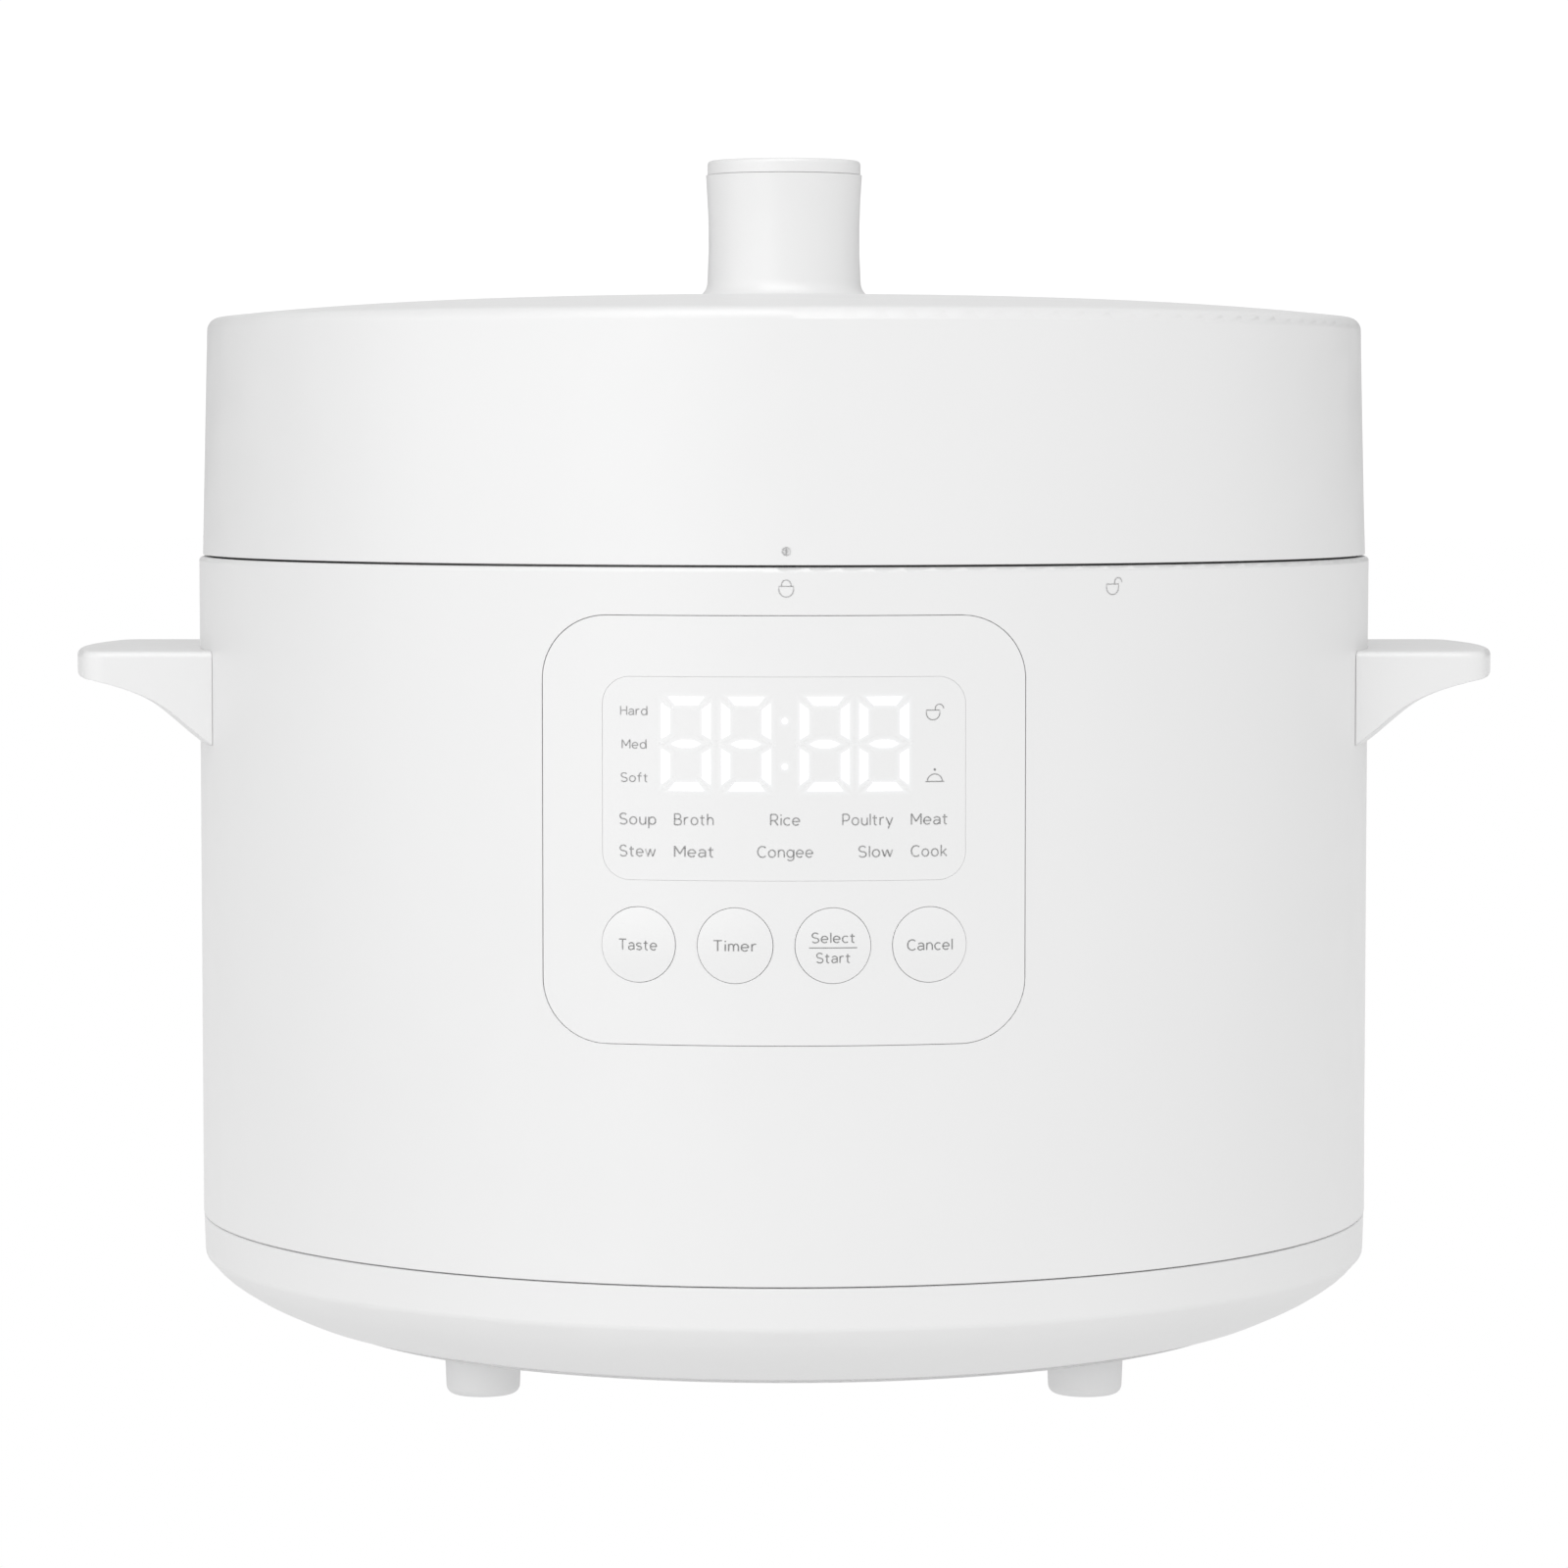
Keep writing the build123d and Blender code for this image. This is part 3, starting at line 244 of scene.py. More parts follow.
def blend_colour(tree, factor, first, second):
    """Mix two colours by a factor socket."""
    mixer = tree.nodes.new("ShaderNodeMix")
    mixer.data_type = "RGBA"
    tree.links.new(factor, mixer.inputs["Factor"])
    for index, colour in ((6, first), (7, second)):
        if isinstance(colour, tuple):
            mixer.inputs[index].default_value = (*colour, 1.0)
        else:
            tree.links.new(colour, mixer.inputs[index])
    return mixer.outputs[2]


def start_finish(name):
    """New material, its node tree and its principled shader."""
    material = bpy.data.materials.new(name)
    material.use_nodes = True
    tree = material.node_tree
    return material, tree, tree.nodes["Principled BSDF"]


def add_bump(tree, shader, height, distance, strength, normal=None):
    """Fine relief on a shader's normal, over a rounded normal if there is one."""
    bump = tree.nodes.new("ShaderNodeBump")
    bump.inputs["Distance"].default_value = distance
    bump.inputs["Strength"].default_value = strength
    tree.links.new(height, bump.inputs["Height"])
    if normal is not None:
        tree.links.new(normal, bump.inputs["Normal"])
    tree.links.new(bump.outputs["Normal"], shader.inputs["Normal"])


def moulded(name, light, dark, roughness, grain_scale, relief, edge_radius, edge_highlight_tint):
    """Moulded plastic: skin grain, slow tone, satin patches, polished edges and a painted highlight on them."""
    material, tree, shader = start_finish(name)
    skin = place_group(tree, moulded_skin, Grain_Scale=grain_scale)
    edge = place_group(tree, edge_polish_and_highlight, Radius=edge_radius)
    body_colour = blend_colour(tree, skin.outputs["Tone"], light, dark)
    # The edges are mixed towards the lighter edge tint: a painted highlight.
    highlit_colour = blend_colour(tree, edge.outputs["Edge"], body_colour, edge_highlight_tint)
    tree.links.new(highlit_colour, shader.inputs["Base Color"])
    wander = spread(tree, skin.outputs["Gloss"], 0.0, 1.0, roughness - 0.03, roughness + 0.04)
    polish = maths(tree, "MULTIPLY", edge.outputs["Edge"], EDGE_POLISH)
    tree.links.new(maths(tree, "SUBTRACT", wander, polish), shader.inputs["Roughness"])
    shader.inputs["IOR"].default_value = PLASTIC_IOR
    add_bump(tree, shader, skin.outputs["Height"], relief, 0.35, edge.outputs["Normal"])
    print("finish", name)
    return material


# %% [markdown]
# The big mouldings are satin white polypropylene. The control plate and keys come from a more
# polished tool, so they are a little smoother and reflect a little more. The base is the same
# white with a coarser, duller grain, and the feet are a firm pale rubber.

# %% plastic and rubber finishes
# Each row gives the name, the light and dark tones, the roughness, the grains to the metre, the
# relief and the edge radius in metres, and the lighter tint painted on the edges as a highlight.
finishes = {
    "body_white": moulded("satin_white", grey(0.815), grey(0.806),
                          0.36, 1900.0, 0.00002, 0.0003, grey(0.845)),
    "panel_white": moulded("panel_white_gloss", grey(0.818), grey(0.812),
                           0.33, 2600.0, 0.00001, 0.00015, grey(0.835)),
    "lens_white": moulded("lens_white_gloss", grey(0.818), grey(0.812),
                          0.32, 2600.0, 0.00001, 0.00015, grey(0.835)),
    "base_white": moulded("matt_base_white", grey(0.812), grey(0.800),
                          0.50, 1200.0, 0.00003, 0.0003, grey(0.845)),
    "foot_grey": moulded("pale_rubber", (0.740, 0.740, 0.742), (0.705, 0.705, 0.708),
                         0.62, 900.0, 0.00004, 0.0005, (0.77, 0.77, 0.772)),
    "inner_plastic": moulded("inner_natural", grey(0.60), (0.54, 0.54, 0.545),
                             0.55, 700.0, 0.00005, 0.0003, grey(0.66)),
    "chip_black": moulded("component_black", (0.030, 0.030, 0.032), (0.018, 0.018, 0.020),
                          0.50, 1500.0, 0.00003, 0.0002, (0.07, 0.07, 0.072)),
    "inlet_black": moulded("inlet_black_nylon", (0.032, 0.032, 0.035), (0.022, 0.022, 0.024),
                           0.42, 1300.0, 0.00003, 0.0002, (0.075, 0.075, 0.08)),
    "silicone": moulded("soft_silicone", (0.76, 0.76, 0.74), (0.70, 0.70, 0.68),
                        0.58, 800.0, 0.00003, 0.0003, (0.80, 0.80, 0.78)),
    "wire_insulation": moulded("wire_red", (0.46, 0.035, 0.025), (0.38, 0.025, 0.02),
                               0.45, 1400.0, 0.00002, 0.0002, (0.55, 0.07, 0.05)),
    "circuit_board": moulded("solder_mask_green", (0.012, 0.115, 0.045), (0.008, 0.085, 0.034),
                             0.36, 600.0, 0.00003, 0.0001, (0.20, 0.26, 0.14)),
    "label_foil": moulded("label_foil_grey", (0.56, 0.56, 0.57), (0.50, 0.50, 0.51),
                          0.34, 2200.0, 0.00001, 0.0001, grey(0.66)),
}

# %% [markdown]
# The pots, plates and screws are bare metal. Metal takes its colour from its reflection, so
# Metallic is one, and what tells steel from aluminium is the tint, the roughness and how long
# the lines of the noise are. The cooking pot has a dark non-stick skin with a soft sparkle.

# %% metal finishes
METAL_EDGE = 0.0002
EDGE_GLEAM = 1.12


def metal(name, light, dark, roughness, fineness, stretch, relief):
    """Bare metal: tint, wandering roughness and lines or pebbles in the surface."""
    material, tree, shader = start_finish(name)
    marks = place_group(tree, metal_lines, Fineness=fineness, Stretch=stretch)
    edge = place_group(tree, edge_polish_and_highlight, Radius=METAL_EDGE)
    body_colour = blend_colour(tree, marks.outputs["Tone"], light, dark)
    # The edges are lightened by the edge gleam: a painted highlight.
    bright = tuple(min(1.0, channel * EDGE_GLEAM) for channel in light)
    highlit_colour = blend_colour(tree, edge.outputs["Edge"], body_colour, bright)
    tree.links.new(highlit_colour, shader.inputs["Base Color"])
    wander = spread(tree, marks.outputs["Height"], 0.3, 0.7, roughness - 0.05, roughness + 0.07)
    tree.links.new(wander, shader.inputs["Roughness"])
    shader.inputs["Metallic"].default_value = 1.0
    add_bump(tree, shader, marks.outputs["Height"], relief, 0.4, edge.outputs["Normal"])
    print("finish", name)
    return material


# Each row gives the name, the light and dark tones, the roughness, the lines to the metre, how far
# they are drawn out, and their relief in metres.
METALS = {
    "steel": ("zinc_plated_steel", (0.60, 0.60, 0.61), (0.52, 0.52, 0.53), 0.34, 700.0, 6.0, 0.00003),
    "stainless": ("brushed_stainless", (0.66, 0.66, 0.65), (0.60, 0.60, 0.595), 0.26, 900.0, 45.0, 0.00002),
    "aluminium": ("drawn_aluminium", (0.76, 0.76, 0.77), (0.68, 0.68, 0.69), 0.36, 500.0, 25.0, 0.00003),
    "brass": ("contact_brass", (0.78, 0.60, 0.30), (0.70, 0.52, 0.25), 0.30, 800.0, 12.0, 0.00002),
}
for slot, row in METALS.items():
    finishes[slot] = metal(*row)


FLECKS_TO_METRE = 1500.0
FLECK_STARTS = 0.62
FLECK_FULL = 0.70


def pot_skin():
    """Dark non-stick coating: a matt grey-black with fine mineral flecks."""
    material, tree, shader = start_finish("pot_nonstick")
    marks = place_group(tree, metal_lines, Fineness=FLECKS_TO_METRE, Stretch=1.0)
    flecks = spread(tree, marks.outputs["Height"], FLECK_STARTS, FLECK_FULL)
    ground = blend_colour(tree, marks.outputs["Tone"], (0.030, 0.030, 0.032), (0.042, 0.042, 0.045))
    tree.links.new(blend_colour(tree, flecks, ground, (0.20, 0.20, 0.205)), shader.inputs["Base Color"])
    tree.links.new(spread(tree, marks.outputs["Tone"], 0.0, 1.0, 0.36, 0.46), shader.inputs["Roughness"])
    add_bump(tree, shader, marks.outputs["Height"], 0.00003, 0.5)
    print("finish pot_nonstick")
    return material


finishes["pot_coating"] = pot_skin()

# %% [markdown]
# The clock is lit from behind through the white lens. The lit shapes are drawn as thin sheets on
# the lens, each with an even plain emission, and round each lies a halo whose strength
# fades outward. The fade is stored on the halo's own points, so it needs no blurred picture.

# %% light and ink finishes
def glow(name, strength):
    """Lit window: an even white light with the faint mottle of its diffuser."""
    material, tree, shader = start_finish(name)
    skin = place_group(tree, moulded_skin, Grain_Scale=900.0)
    tone = blend_colour(tree, skin.outputs["Tone"], grey(1.0), (0.97, 0.985, 1.0))
    tree.links.new(tone, shader.inputs["Emission Color"])
    shader.inputs["Base Color"].default_value = (0.9, 0.9, 0.9, 1.0)
    shader.inputs["Emission Strength"].default_value = strength
    shader.inputs["Roughness"].default_value = 0.4
    return material, tree, shader


lit_window, tree, shader = glow("lit_window", 1.0)
finishes["led_light"], tree, shader = glow("led_chip", 1.4)
halo_light, tree, shader = glow("halo_light", 1.0)
shader.inputs["Base Color"].default_value = (0.0, 0.0, 0.0, 1.0)
shader.inputs["Specular IOR Level"].default_value = 0.0
fade = tree.nodes.new("ShaderNodeAttribute")
fade.attribute_name = "fade"
tree.links.new(fade.outputs["Fac"], shader.inputs["Alpha"])


def ink(name, light, dark):
    """Screen-printed ink, slightly uneven and a touch raised."""
    material, tree, shader = start_finish(name)
    skin = place_group(tree, moulded_skin, Grain_Scale=2200.0, Patch_Scale=300.0)
    tree.links.new(blend_colour(tree, skin.outputs["Tone"], light, dark), shader.inputs["Base Color"])
    tree.links.new(spread(tree, skin.outputs["Gloss"], 0.0, 1.0, 0.42, 0.56), shader.inputs["Roughness"])
    add_bump(tree, shader, skin.outputs["Height"], 0.00001, 0.3)
    print("finish", name)
    return material


grey_ink = ink("grey_ink", grey(0.57), grey(0.55))
key_ink = ink("key_ink", grey(0.48), grey(0.46))
pale_ink = ink("pale_ink", grey(0.68), grey(0.66))

# %% [markdown]
# The record names a slot for each node. Handing the finishes out by slot keeps the two in step:
# a new node only needs its slot, and no list has to be kept here. Only the lid's pressed plate
# differs from the other aluminium: it is given a dark grey as painted shade, so the gap under
# the lid reads as a dark line.

# %% dress the frame
slot_of = {entry["node"]: entry["material_slot"] for entry in frame["record"]["subparts"]}
for name, node in nodes.items():
    node.data.materials.clear()
    node.data.materials.append(finishes[slot_of[name]])
# The lid plate's dark grey is painted shade for the gap under the lid.
gap_shade_plate = metal("painted_gap_shade_metal", grey(0.22), grey(0.19), 0.45, 600.0, 20.0, 0.00003)
nodes["lid_plate"].data.materials[0] = gap_shade_plate
print("dressed", len(slot_of), "nodes")

# %% [markdown]
# A white object on white needs light that falls off slowly round it, so that its edges stay
# readable. A pale sky gives the base level and a soft panel in front adds a gentle slope. Four
# things are only mirrored and give no light to matt surfaces: two dark flags at the rear, which
# draw the sides of the drum, a wide reflector on the left, which draws the broad bright band, and
# one overhead, which puts a thin bright line on every rounded rim.

# %% studio light
SKY_LEVEL = 0.75
SKY_FRONT = 0.43
FLAG_LEVEL = -0.55
FLOOR_LEVEL = 0.87
FRONT_POWER = 8.0
RIM_POWER = 52.0
REFLECTOR_POWER = 64.0
SKY_TO_CAMERA = 1.05
FLOOR_TO_CAMERA = 1.0
LAMP_TARGET = (0.0, 0.0, 0.14)


def soft_panel(name, place, size, power):
    """Large square lamp that faces the middle of the cooker."""
    lamp = bpy.data.lights.new(name, "AREA")
    lamp.shape = "SQUARE"
    lamp.size = size
    lamp.energy = power
    holder = bpy.data.objects.new(name, lamp)
    scene.collection.objects.link(holder)
    holder.location = place
    aim = Vector(LAMP_TARGET) - Vector(place)
    holder.rotation_euler = aim.to_track_quat("-Z", "Y").to_euler()
    return holder


soft_panel("front_panel", (-1.1, -2.7, 0.9), 1.6, FRONT_POWER)
for reflector in (
    soft_panel("left_reflector", (-2.3, -1.93, 0.6), 4.0, REFLECTOR_POWER),
    soft_panel("rim_reflector", (-0.2, -1.5, 2.6), 2.6, RIM_POWER),
):
    reflector.visible_diffuse = False

sky = bpy.data.worlds.new("pale_sky")
scene.world = sky
sky.use_nodes = True
sky_tree = sky.node_tree
sky_way = sky_tree.nodes.new("ShaderNodeTexCoord").outputs["Generated"]


def sky_part(direction, low, high, level):
    """Part of the sky's brightness that rises along a direction, between two limits."""
    along = sky_tree.nodes.new("ShaderNodeVectorMath")
    along.operation = "DOT_PRODUCT"
    along.inputs[1].default_value = direction
    sky_tree.links.new(sky_way, along.inputs[0])
    return spread(sky_tree, along.outputs["Value"], low, high, 0.0, level)


def backdrop(tree, lit, seen_level, output):
    """Send one shader to the camera as plain white and another to everything else."""
    seen = tree.nodes.new("ShaderNodeEmission")
    seen.inputs["Strength"].default_value = seen_level
    path = tree.nodes.new("ShaderNodeLightPath")
    choice = tree.nodes.new("ShaderNodeMixShader")
    tree.links.new(path.outputs["Is Camera Ray"], choice.inputs["Fac"])
    tree.links.new(lit, choice.inputs[1])
    tree.links.new(seen.outputs["Emission"], choice.inputs[2])
    tree.links.new(choice.outputs["Shader"], output.inputs["Surface"])


level = maths(sky_tree, "ADD", sky_part((0.0, -1.0, 0.0), -0.4, 0.9, SKY_FRONT), SKY_LEVEL)
mirrored = sky_tree.nodes.new("ShaderNodeLightPath").outputs["Is Glossy Ray"]
for side in (-0.7, 0.7):
    flag = sky_part((side, 0.71, 0.0), 0.72, 0.90, FLAG_LEVEL)
    level = maths(sky_tree, "ADD", level, maths(sky_tree, "MULTIPLY", mirrored, flag))
sky_shade = sky_tree.nodes["Background"]
sky_shade.inputs["Color"].default_value = (*grey(1.0), 1.0)
sky_tree.links.new(level, sky_shade.inputs["Strength"])
backdrop(sky_tree, sky_shade.outputs["Background"], SKY_TO_CAMERA, sky_tree.nodes["World Output"])
print("sky from", SKY_LEVEL, "to", SKY_LEVEL + SKY_FRONT, "and its flags", FLAG_LEVEL)

# %% [markdown]
# The floor is a plain sheet, larger than the view. To the camera it is as white as the backdrop,
# so nothing shows where it ends. To the cooker it gives an even light, a little weaker than the
# sky's, which lets the rounded lower edge and the feet fall softly into shade.

# %% floor
FLOOR_HALF = 12.0
FLOOR_HEIGHT = -0.0002
FLOOR_DRIFT = 0.97


def make_floor(half, level):
    """Square floor under the cooker, with a faint drift in its light."""
    sheet = bpy.data.meshes.new("floor")
    corners = [(half * x, half * y, level) for x, y in ((-1, -1), (1, -1), (1, 1), (-1, 1))]
    sheet.from_pydata(corners, [], [(0, 1, 2, 3)])
    floor = bpy.data.objects.new("floor", sheet)
    scene.collection.objects.link(floor)
    material, tree, shader = start_finish("pale_floor")
    drift = noise(tree, 3.0, 2.0)
    sent = tree.nodes.new("ShaderNodeEmission")
    strength = spread(tree, drift.outputs["Fac"], 0.3, 0.7, FLOOR_LEVEL * FLOOR_DRIFT, FLOOR_LEVEL)
    tree.links.new(strength, sent.inputs["Strength"])
    backdrop(tree, sent.outputs["Emission"], FLOOR_TO_CAMERA, tree.nodes["Material Output"])
    tree.nodes.remove(shader)
    sheet.materials.append(material)
    return floor


make_floor(FLOOR_HALF, FLOOR_HEIGHT)
print("floor laid")

# %% [markdown]
# The marks on the front are printed or lit, so they are thin pieces laid on the curved faces.
# They are drawn flat in millimetres, as across and up, and then carried onto the drum. Drawing
# flat first keeps every mark simple, and the same step wraps words, icons and digits alike.

# %% making pieces
def new_piece(name, points, faces, material, body, thickness=0.0):
    """Mesh piece from points in metres that rides on a body and takes the finish given."""
    form = bmesh.new()
    corners = [form.verts.new(point) for point in points]
    for face in faces:
        form.faces.new([corners[index] for index in face])
    if thickness:
        bmesh.ops.solidify(form, geom=form.faces[:], thickness=thickness)
    sheet = bpy.data.meshes.new(name)
    form.to_mesh(sheet)
    form.free()
    sheet.materials.append(material)
    piece = bpy.data.objects.new(name, sheet)
    scene.collection.objects.link(piece)
    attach(piece, body)
    return piece


def drum_point(across, up, radius, turn=0.0):
    """Place on the drum of a flat drawing point, seen from the front and then turned, in metres."""
    flat = Vector((across, -math.sqrt(radius ** 2 - across ** 2), up)) * MM
    return Matrix.Rotation(math.radians(turn), 3, "Z") @ flat


shell_low, shell_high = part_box("outer_shell")
lens_low, lens_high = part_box("display_lens")
DRUM_RADIUS = shell_high.x / MM
LENS_MIDDLE = (lens_low.z + lens_high.z) / 2 / MM
INK_LIFT = 0.04
INK_DEPTH = -0.02 * MM
print("drum radius", round(DRUM_RADIUS, 2), "lens middle", round(LENS_MIDDLE, 2))

# %% strokes and dots
def joined_drawing(*drawings):
    """Several flat drawings as one list of points and one of faces."""
    points, faces = [], []
    for some_points, some_faces in drawings:
        offset = len(points)
        points.extend(some_points)
        faces.extend(tuple(index + offset for index in face) for face in some_faces)
    return points, faces


def stroke(path, width, closed=False):
    """Ribbon of even width along a flat path."""
    count = len(path)
    points = []
    for index in range(count):
        before = Vector(path[index - 1] if closed or index else path[index])
        after = Vector(path[(index + 1) % count] if closed or index < count - 1 else path[index])
        along = (after - before).normalized()
        side = Vector((along.y, -along.x)) * width / 2
        here = Vector(path[index])
        points += [tuple(here + side), tuple(here - side)]
    faces = []
    for index in range(count if closed else count - 1):
        ahead = (index + 1) % count
        faces.append((2 * index, 2 * ahead, 2 * ahead + 1, 2 * index + 1))
    return points, faces


def arc_path(centre, radius, start, stop, steps=24):
    """Points along a flat arc, with angles in degrees from the right."""
    spots = []
    for step in range(steps + 1):
        angle = math.radians(start + (stop - start) * step / steps)
        spots.append((centre[0] + radius * math.cos(angle), centre[1] + radius * math.sin(angle)))
    return spots


def dot(centre, radius, steps=32):
    """Round spot as a fan of points."""
    rim = arc_path(centre, radius, 0, 360 - 360 / steps, steps - 1)
    return rim, [tuple(range(steps))]


SLICE = 1.2


def sliced(drawing):
    """Cut a flat drawing into narrow upright strips, so that it can follow a curved face."""
    points, faces = drawing
    form = bmesh.new()
    corners = [form.verts.new((across, up, 0.0)) for across, up in points]
    for face in faces:
        form.faces.new([corners[index] for index in face])
    low = min(across for across, up in points)
    high = max(across for across, up in points)
    for step in range(math.ceil(low / SLICE), math.ceil(high / SLICE)):
        everything = form.verts[:] + form.edges[:] + form.faces[:]
        bmesh.ops.bisect_plane(form, geom=everything, plane_co=(step * SLICE, 0, 0), plane_no=(1, 0, 0))
    form.verts.index_update()
    points = [(corner.co.x, corner.co.y) for corner in form.verts]
    faces = [tuple(corner.index for corner in face.verts) for face in form.faces]
    form.free()
    return points, faces


def on_drum(drawing, radius, turn=0.0):
    """Wrap a flat drawing onto the drum."""
    points, faces = sliced(drawing)
    return [drum_point(across, up, radius, turn) for across, up in points], faces


# %% [markdown]
# The words are set in a plain round letter of even weight. Each letter is a few strokes of a
# pen, in units of the capital height, so the whole alphabet that is needed is made of straight
# runs and parts of ovals. A word is then fitted between two places, as a printer would.

# %% lettering
PEN = 0.105
LETTER_GAP = 0.14
OVAL_STEPS = 14


def oval(across, up, wide, tall, start, stop):
    """Part of an oval as a path, with angles in degrees from the right."""
    return [(across + wide * x, up + tall * y) for x, y in arc_path((0.0, 0.0), 1.0, start, stop, OVAL_STEPS)]


def bowl(across):
    """Round body of a small letter."""
    return oval(across, 0.36, 0.26, 0.30, 0, 360)


def arch(left, right):
    """Shoulder of a small letter that springs from one stem and comes down as the next."""
    half = (right - left) / 2
    return oval(left + half, 0.40, half, 0.26, 180, 0) + [(right, 0.05)]


TALL = [(0.10, 0.05), (0.10, 0.97)]
SHORT = [(0.10, 0.05), (0.10, 0.67)]
CAP = [(0.10, 0.05), (0.10, 0.95)]
LETTERS = {
    "a": [oval(0.30, 0.46, 0.22, 0.20, 155, 0) + [(0.52, 0.05)],
          [(0.52, 0.39), (0.28, 0.39)] + oval(0.26, 0.225, 0.19, 0.165, 100, 280) + [(0.50, 0.17)]],
    "c": [oval(0.32, 0.36, 0.26, 0.30, 48, 312)],
    "d": [bowl(0.32), [(0.58, 0.05), (0.58, 0.97)]],
    "e": [oval(0.32, 0.36, 0.26, 0.30, -2, 318), [(0.08, 0.36), (0.58, 0.36)]],
    "f": [[(0.20, 0.05), (0.20, 0.74)] + oval(0.38, 0.76, 0.18, 0.19, 180, 85),
          [(0.04, 0.64), (0.40, 0.64)]],
    "g": [bowl(0.32), [(0.58, 0.67), (0.58, 0.0)] + oval(0.33, 0.0, 0.25, 0.22, 0, -150)],
    "h": [TALL, arch(0.10, 0.54)],
    "i": [[(0.10, 0.05), (0.10, 0.65)], [(0.10, 0.83), (0.10, 0.94)]],
    "k": [TALL, [(0.50, 0.65), (0.11, 0.28)], [(0.24, 0.39), (0.53, 0.05)]],
    "l": [TALL],
    "m": [SHORT, arch(0.10, 0.45), arch(0.45, 0.80)],
    "n": [SHORT, arch(0.10, 0.54)],
    "o": [bowl(0.34)],
    "p": [[(0.10, -0.26), (0.10, 0.67)], bowl(0.36)],
    "r": [SHORT, oval(0.33, 0.40, 0.23, 0.26, 180, 70)],
    "s": [oval(0.28, 0.505, 0.20, 0.145, 25, 270) + oval(0.28, 0.215, 0.21, 0.145, 90, -155)],
    "t": [[(0.20, 0.86), (0.20, 0.24)] + oval(0.34, 0.21, 0.14, 0.15, 180, 285),
          [(0.04, 0.64), (0.40, 0.64)]],
    "u": [[(0.10, 0.67)] + oval(0.32, 0.31, 0.22, 0.26, 180, 360), [(0.54, 0.67), (0.54, 0.05)]],
    "w": [[(0.04, 0.66), (0.23, 0.06)], [(0.23, 0.06), (0.42, 0.66)], [(0.42, 0.66), (0.61, 0.06)],
          [(0.61, 0.06), (0.80, 0.66)]],
    "y": [[(0.04, 0.66), (0.30, 0.06)], [(0.55, 0.66), (0.20, -0.26)]],
    "B": [CAP, [(0.10, 0.95), (0.38, 0.95)] + oval(0.38, 0.735, 0.20, 0.215, 88, -88) + [(0.10, 0.52)],
          oval(0.40, 0.285, 0.24, 0.235, 88, -88) + [(0.10, 0.05)]],
    "C": [oval(0.44, 0.50, 0.36, 0.45, 46, 314)],
    "H": [CAP, [(0.68, 0.05), (0.68, 0.95)], [(0.10, 0.52), (0.68, 0.52)]],
    "M": [CAP, [(0.11, 0.93), (0.45, 0.30)], [(0.45, 0.30), (0.79, 0.93)], [(0.80, 0.05), (0.80, 0.95)]],
    "P": [CAP, [(0.10, 0.95), (0.38, 0.95)] + oval(0.38, 0.685, 0.24, 0.265, 88, -88) + [(0.10, 0.42)]],
    "R": [CAP, [(0.10, 0.95), (0.38, 0.95)] + oval(0.38, 0.70, 0.22, 0.25, 88, -88) + [(0.10, 0.45)],
          [(0.37, 0.45), (0.62, 0.05)]],
    "S": [oval(0.34, 0.72, 0.25, 0.23, 28, 270) + oval(0.34, 0.27, 0.27, 0.22, 90, -152)],
    "T": [[(0.04, 0.95), (0.66, 0.95)], [(0.35, 0.95), (0.35, 0.05)]],
}


def fitted_word(word, left, right, middle_up, cap_height):
    """A word drawn between two places across, centred on a height by its capitals."""
    drawings = []
    start = 0.0
    for letter in word:
        paths = LETTERS[letter]
        drawings += [stroke([(start + across, up) for across, up in path], PEN) for path in paths]
        start += max(across for path in paths for across, up in path) + LETTER_GAP
    points, faces = joined_drawing(*drawings)
    low = min(across for across, up in points)
    wide = (right - left) / (max(across for across, up in points) - low)
    placed = [(left + (across - low) * wide, middle_up + (up - 0.5) * cap_height) for across, up in points]
    return placed, faces


print("drew", len(LETTERS), "letters")

# %% words on the display
LEVEL_CAP = 2.12
PROGRAM_CAP = 2.62
UPPER_ROW = -8.75
LOWER_ROW = -15.65
LEVEL_WORDS = (("Hard", -35.3, -29.4, 14.6), ("Med", -35.0, -29.6, 7.4), ("Soft", -35.2, -29.4, 0.2))
UPPER_WORDS = (("Soup", -35.5, -27.5), ("Broth", -23.7, -15.1), ("Rice", -3.0, 3.5), ("Poultry", 12.5, 23.5),
               ("Meat", 27.3, 35.2))
LOWER_WORDS = (("Stew", -35.5, -27.6), ("Meat", -23.7, -15.2), ("Congee", -5.8, 6.3), ("Slow", 16.0, 23.5),
               ("Cook", 27.3, 35.2))
words = [fitted_word(word, left, right, LENS_MIDDLE + up, LEVEL_CAP) for word, left, right, up in LEVEL_WORDS]
for row_up, row in ((UPPER_ROW, UPPER_WORDS), (LOWER_ROW, LOWER_WORDS)):
    words += [fitted_word(word, left, right, LENS_MIDDLE + row_up, PROGRAM_CAP) for word, left, right in row]
points, faces = on_drum(joined_drawing(*words), DRUM_RADIUS + INK_LIFT)
new_piece("display_words", points, faces, grey_ink, "cooker_body", INK_DEPTH)
print("printed", len(words), "words")

# %% [markdown]
# Two small pictures stand beside the digits: a round pot with an open loop, and a dish under a
# cover. The pot stands on the drum too, under the lid's edge: shut where the lid is locked, and
# open where it lifts off. A dot on the lid points to one or the other.

# %% icons
LINE_SHARE = 0.075
COVER_LINE = 0.23
MARK_WIDTH = 3.15
MARK_DROP = 4.0
MARK_TURN = 0.2
OPEN_MARK_EXTRA = 1.0
LID_DOT_UP = 2.95
LID_DOT_RADIUS = 0.95
LID_DOT_LIFT = 0.02
LID_DOT_DEPTH = -0.03 * MM


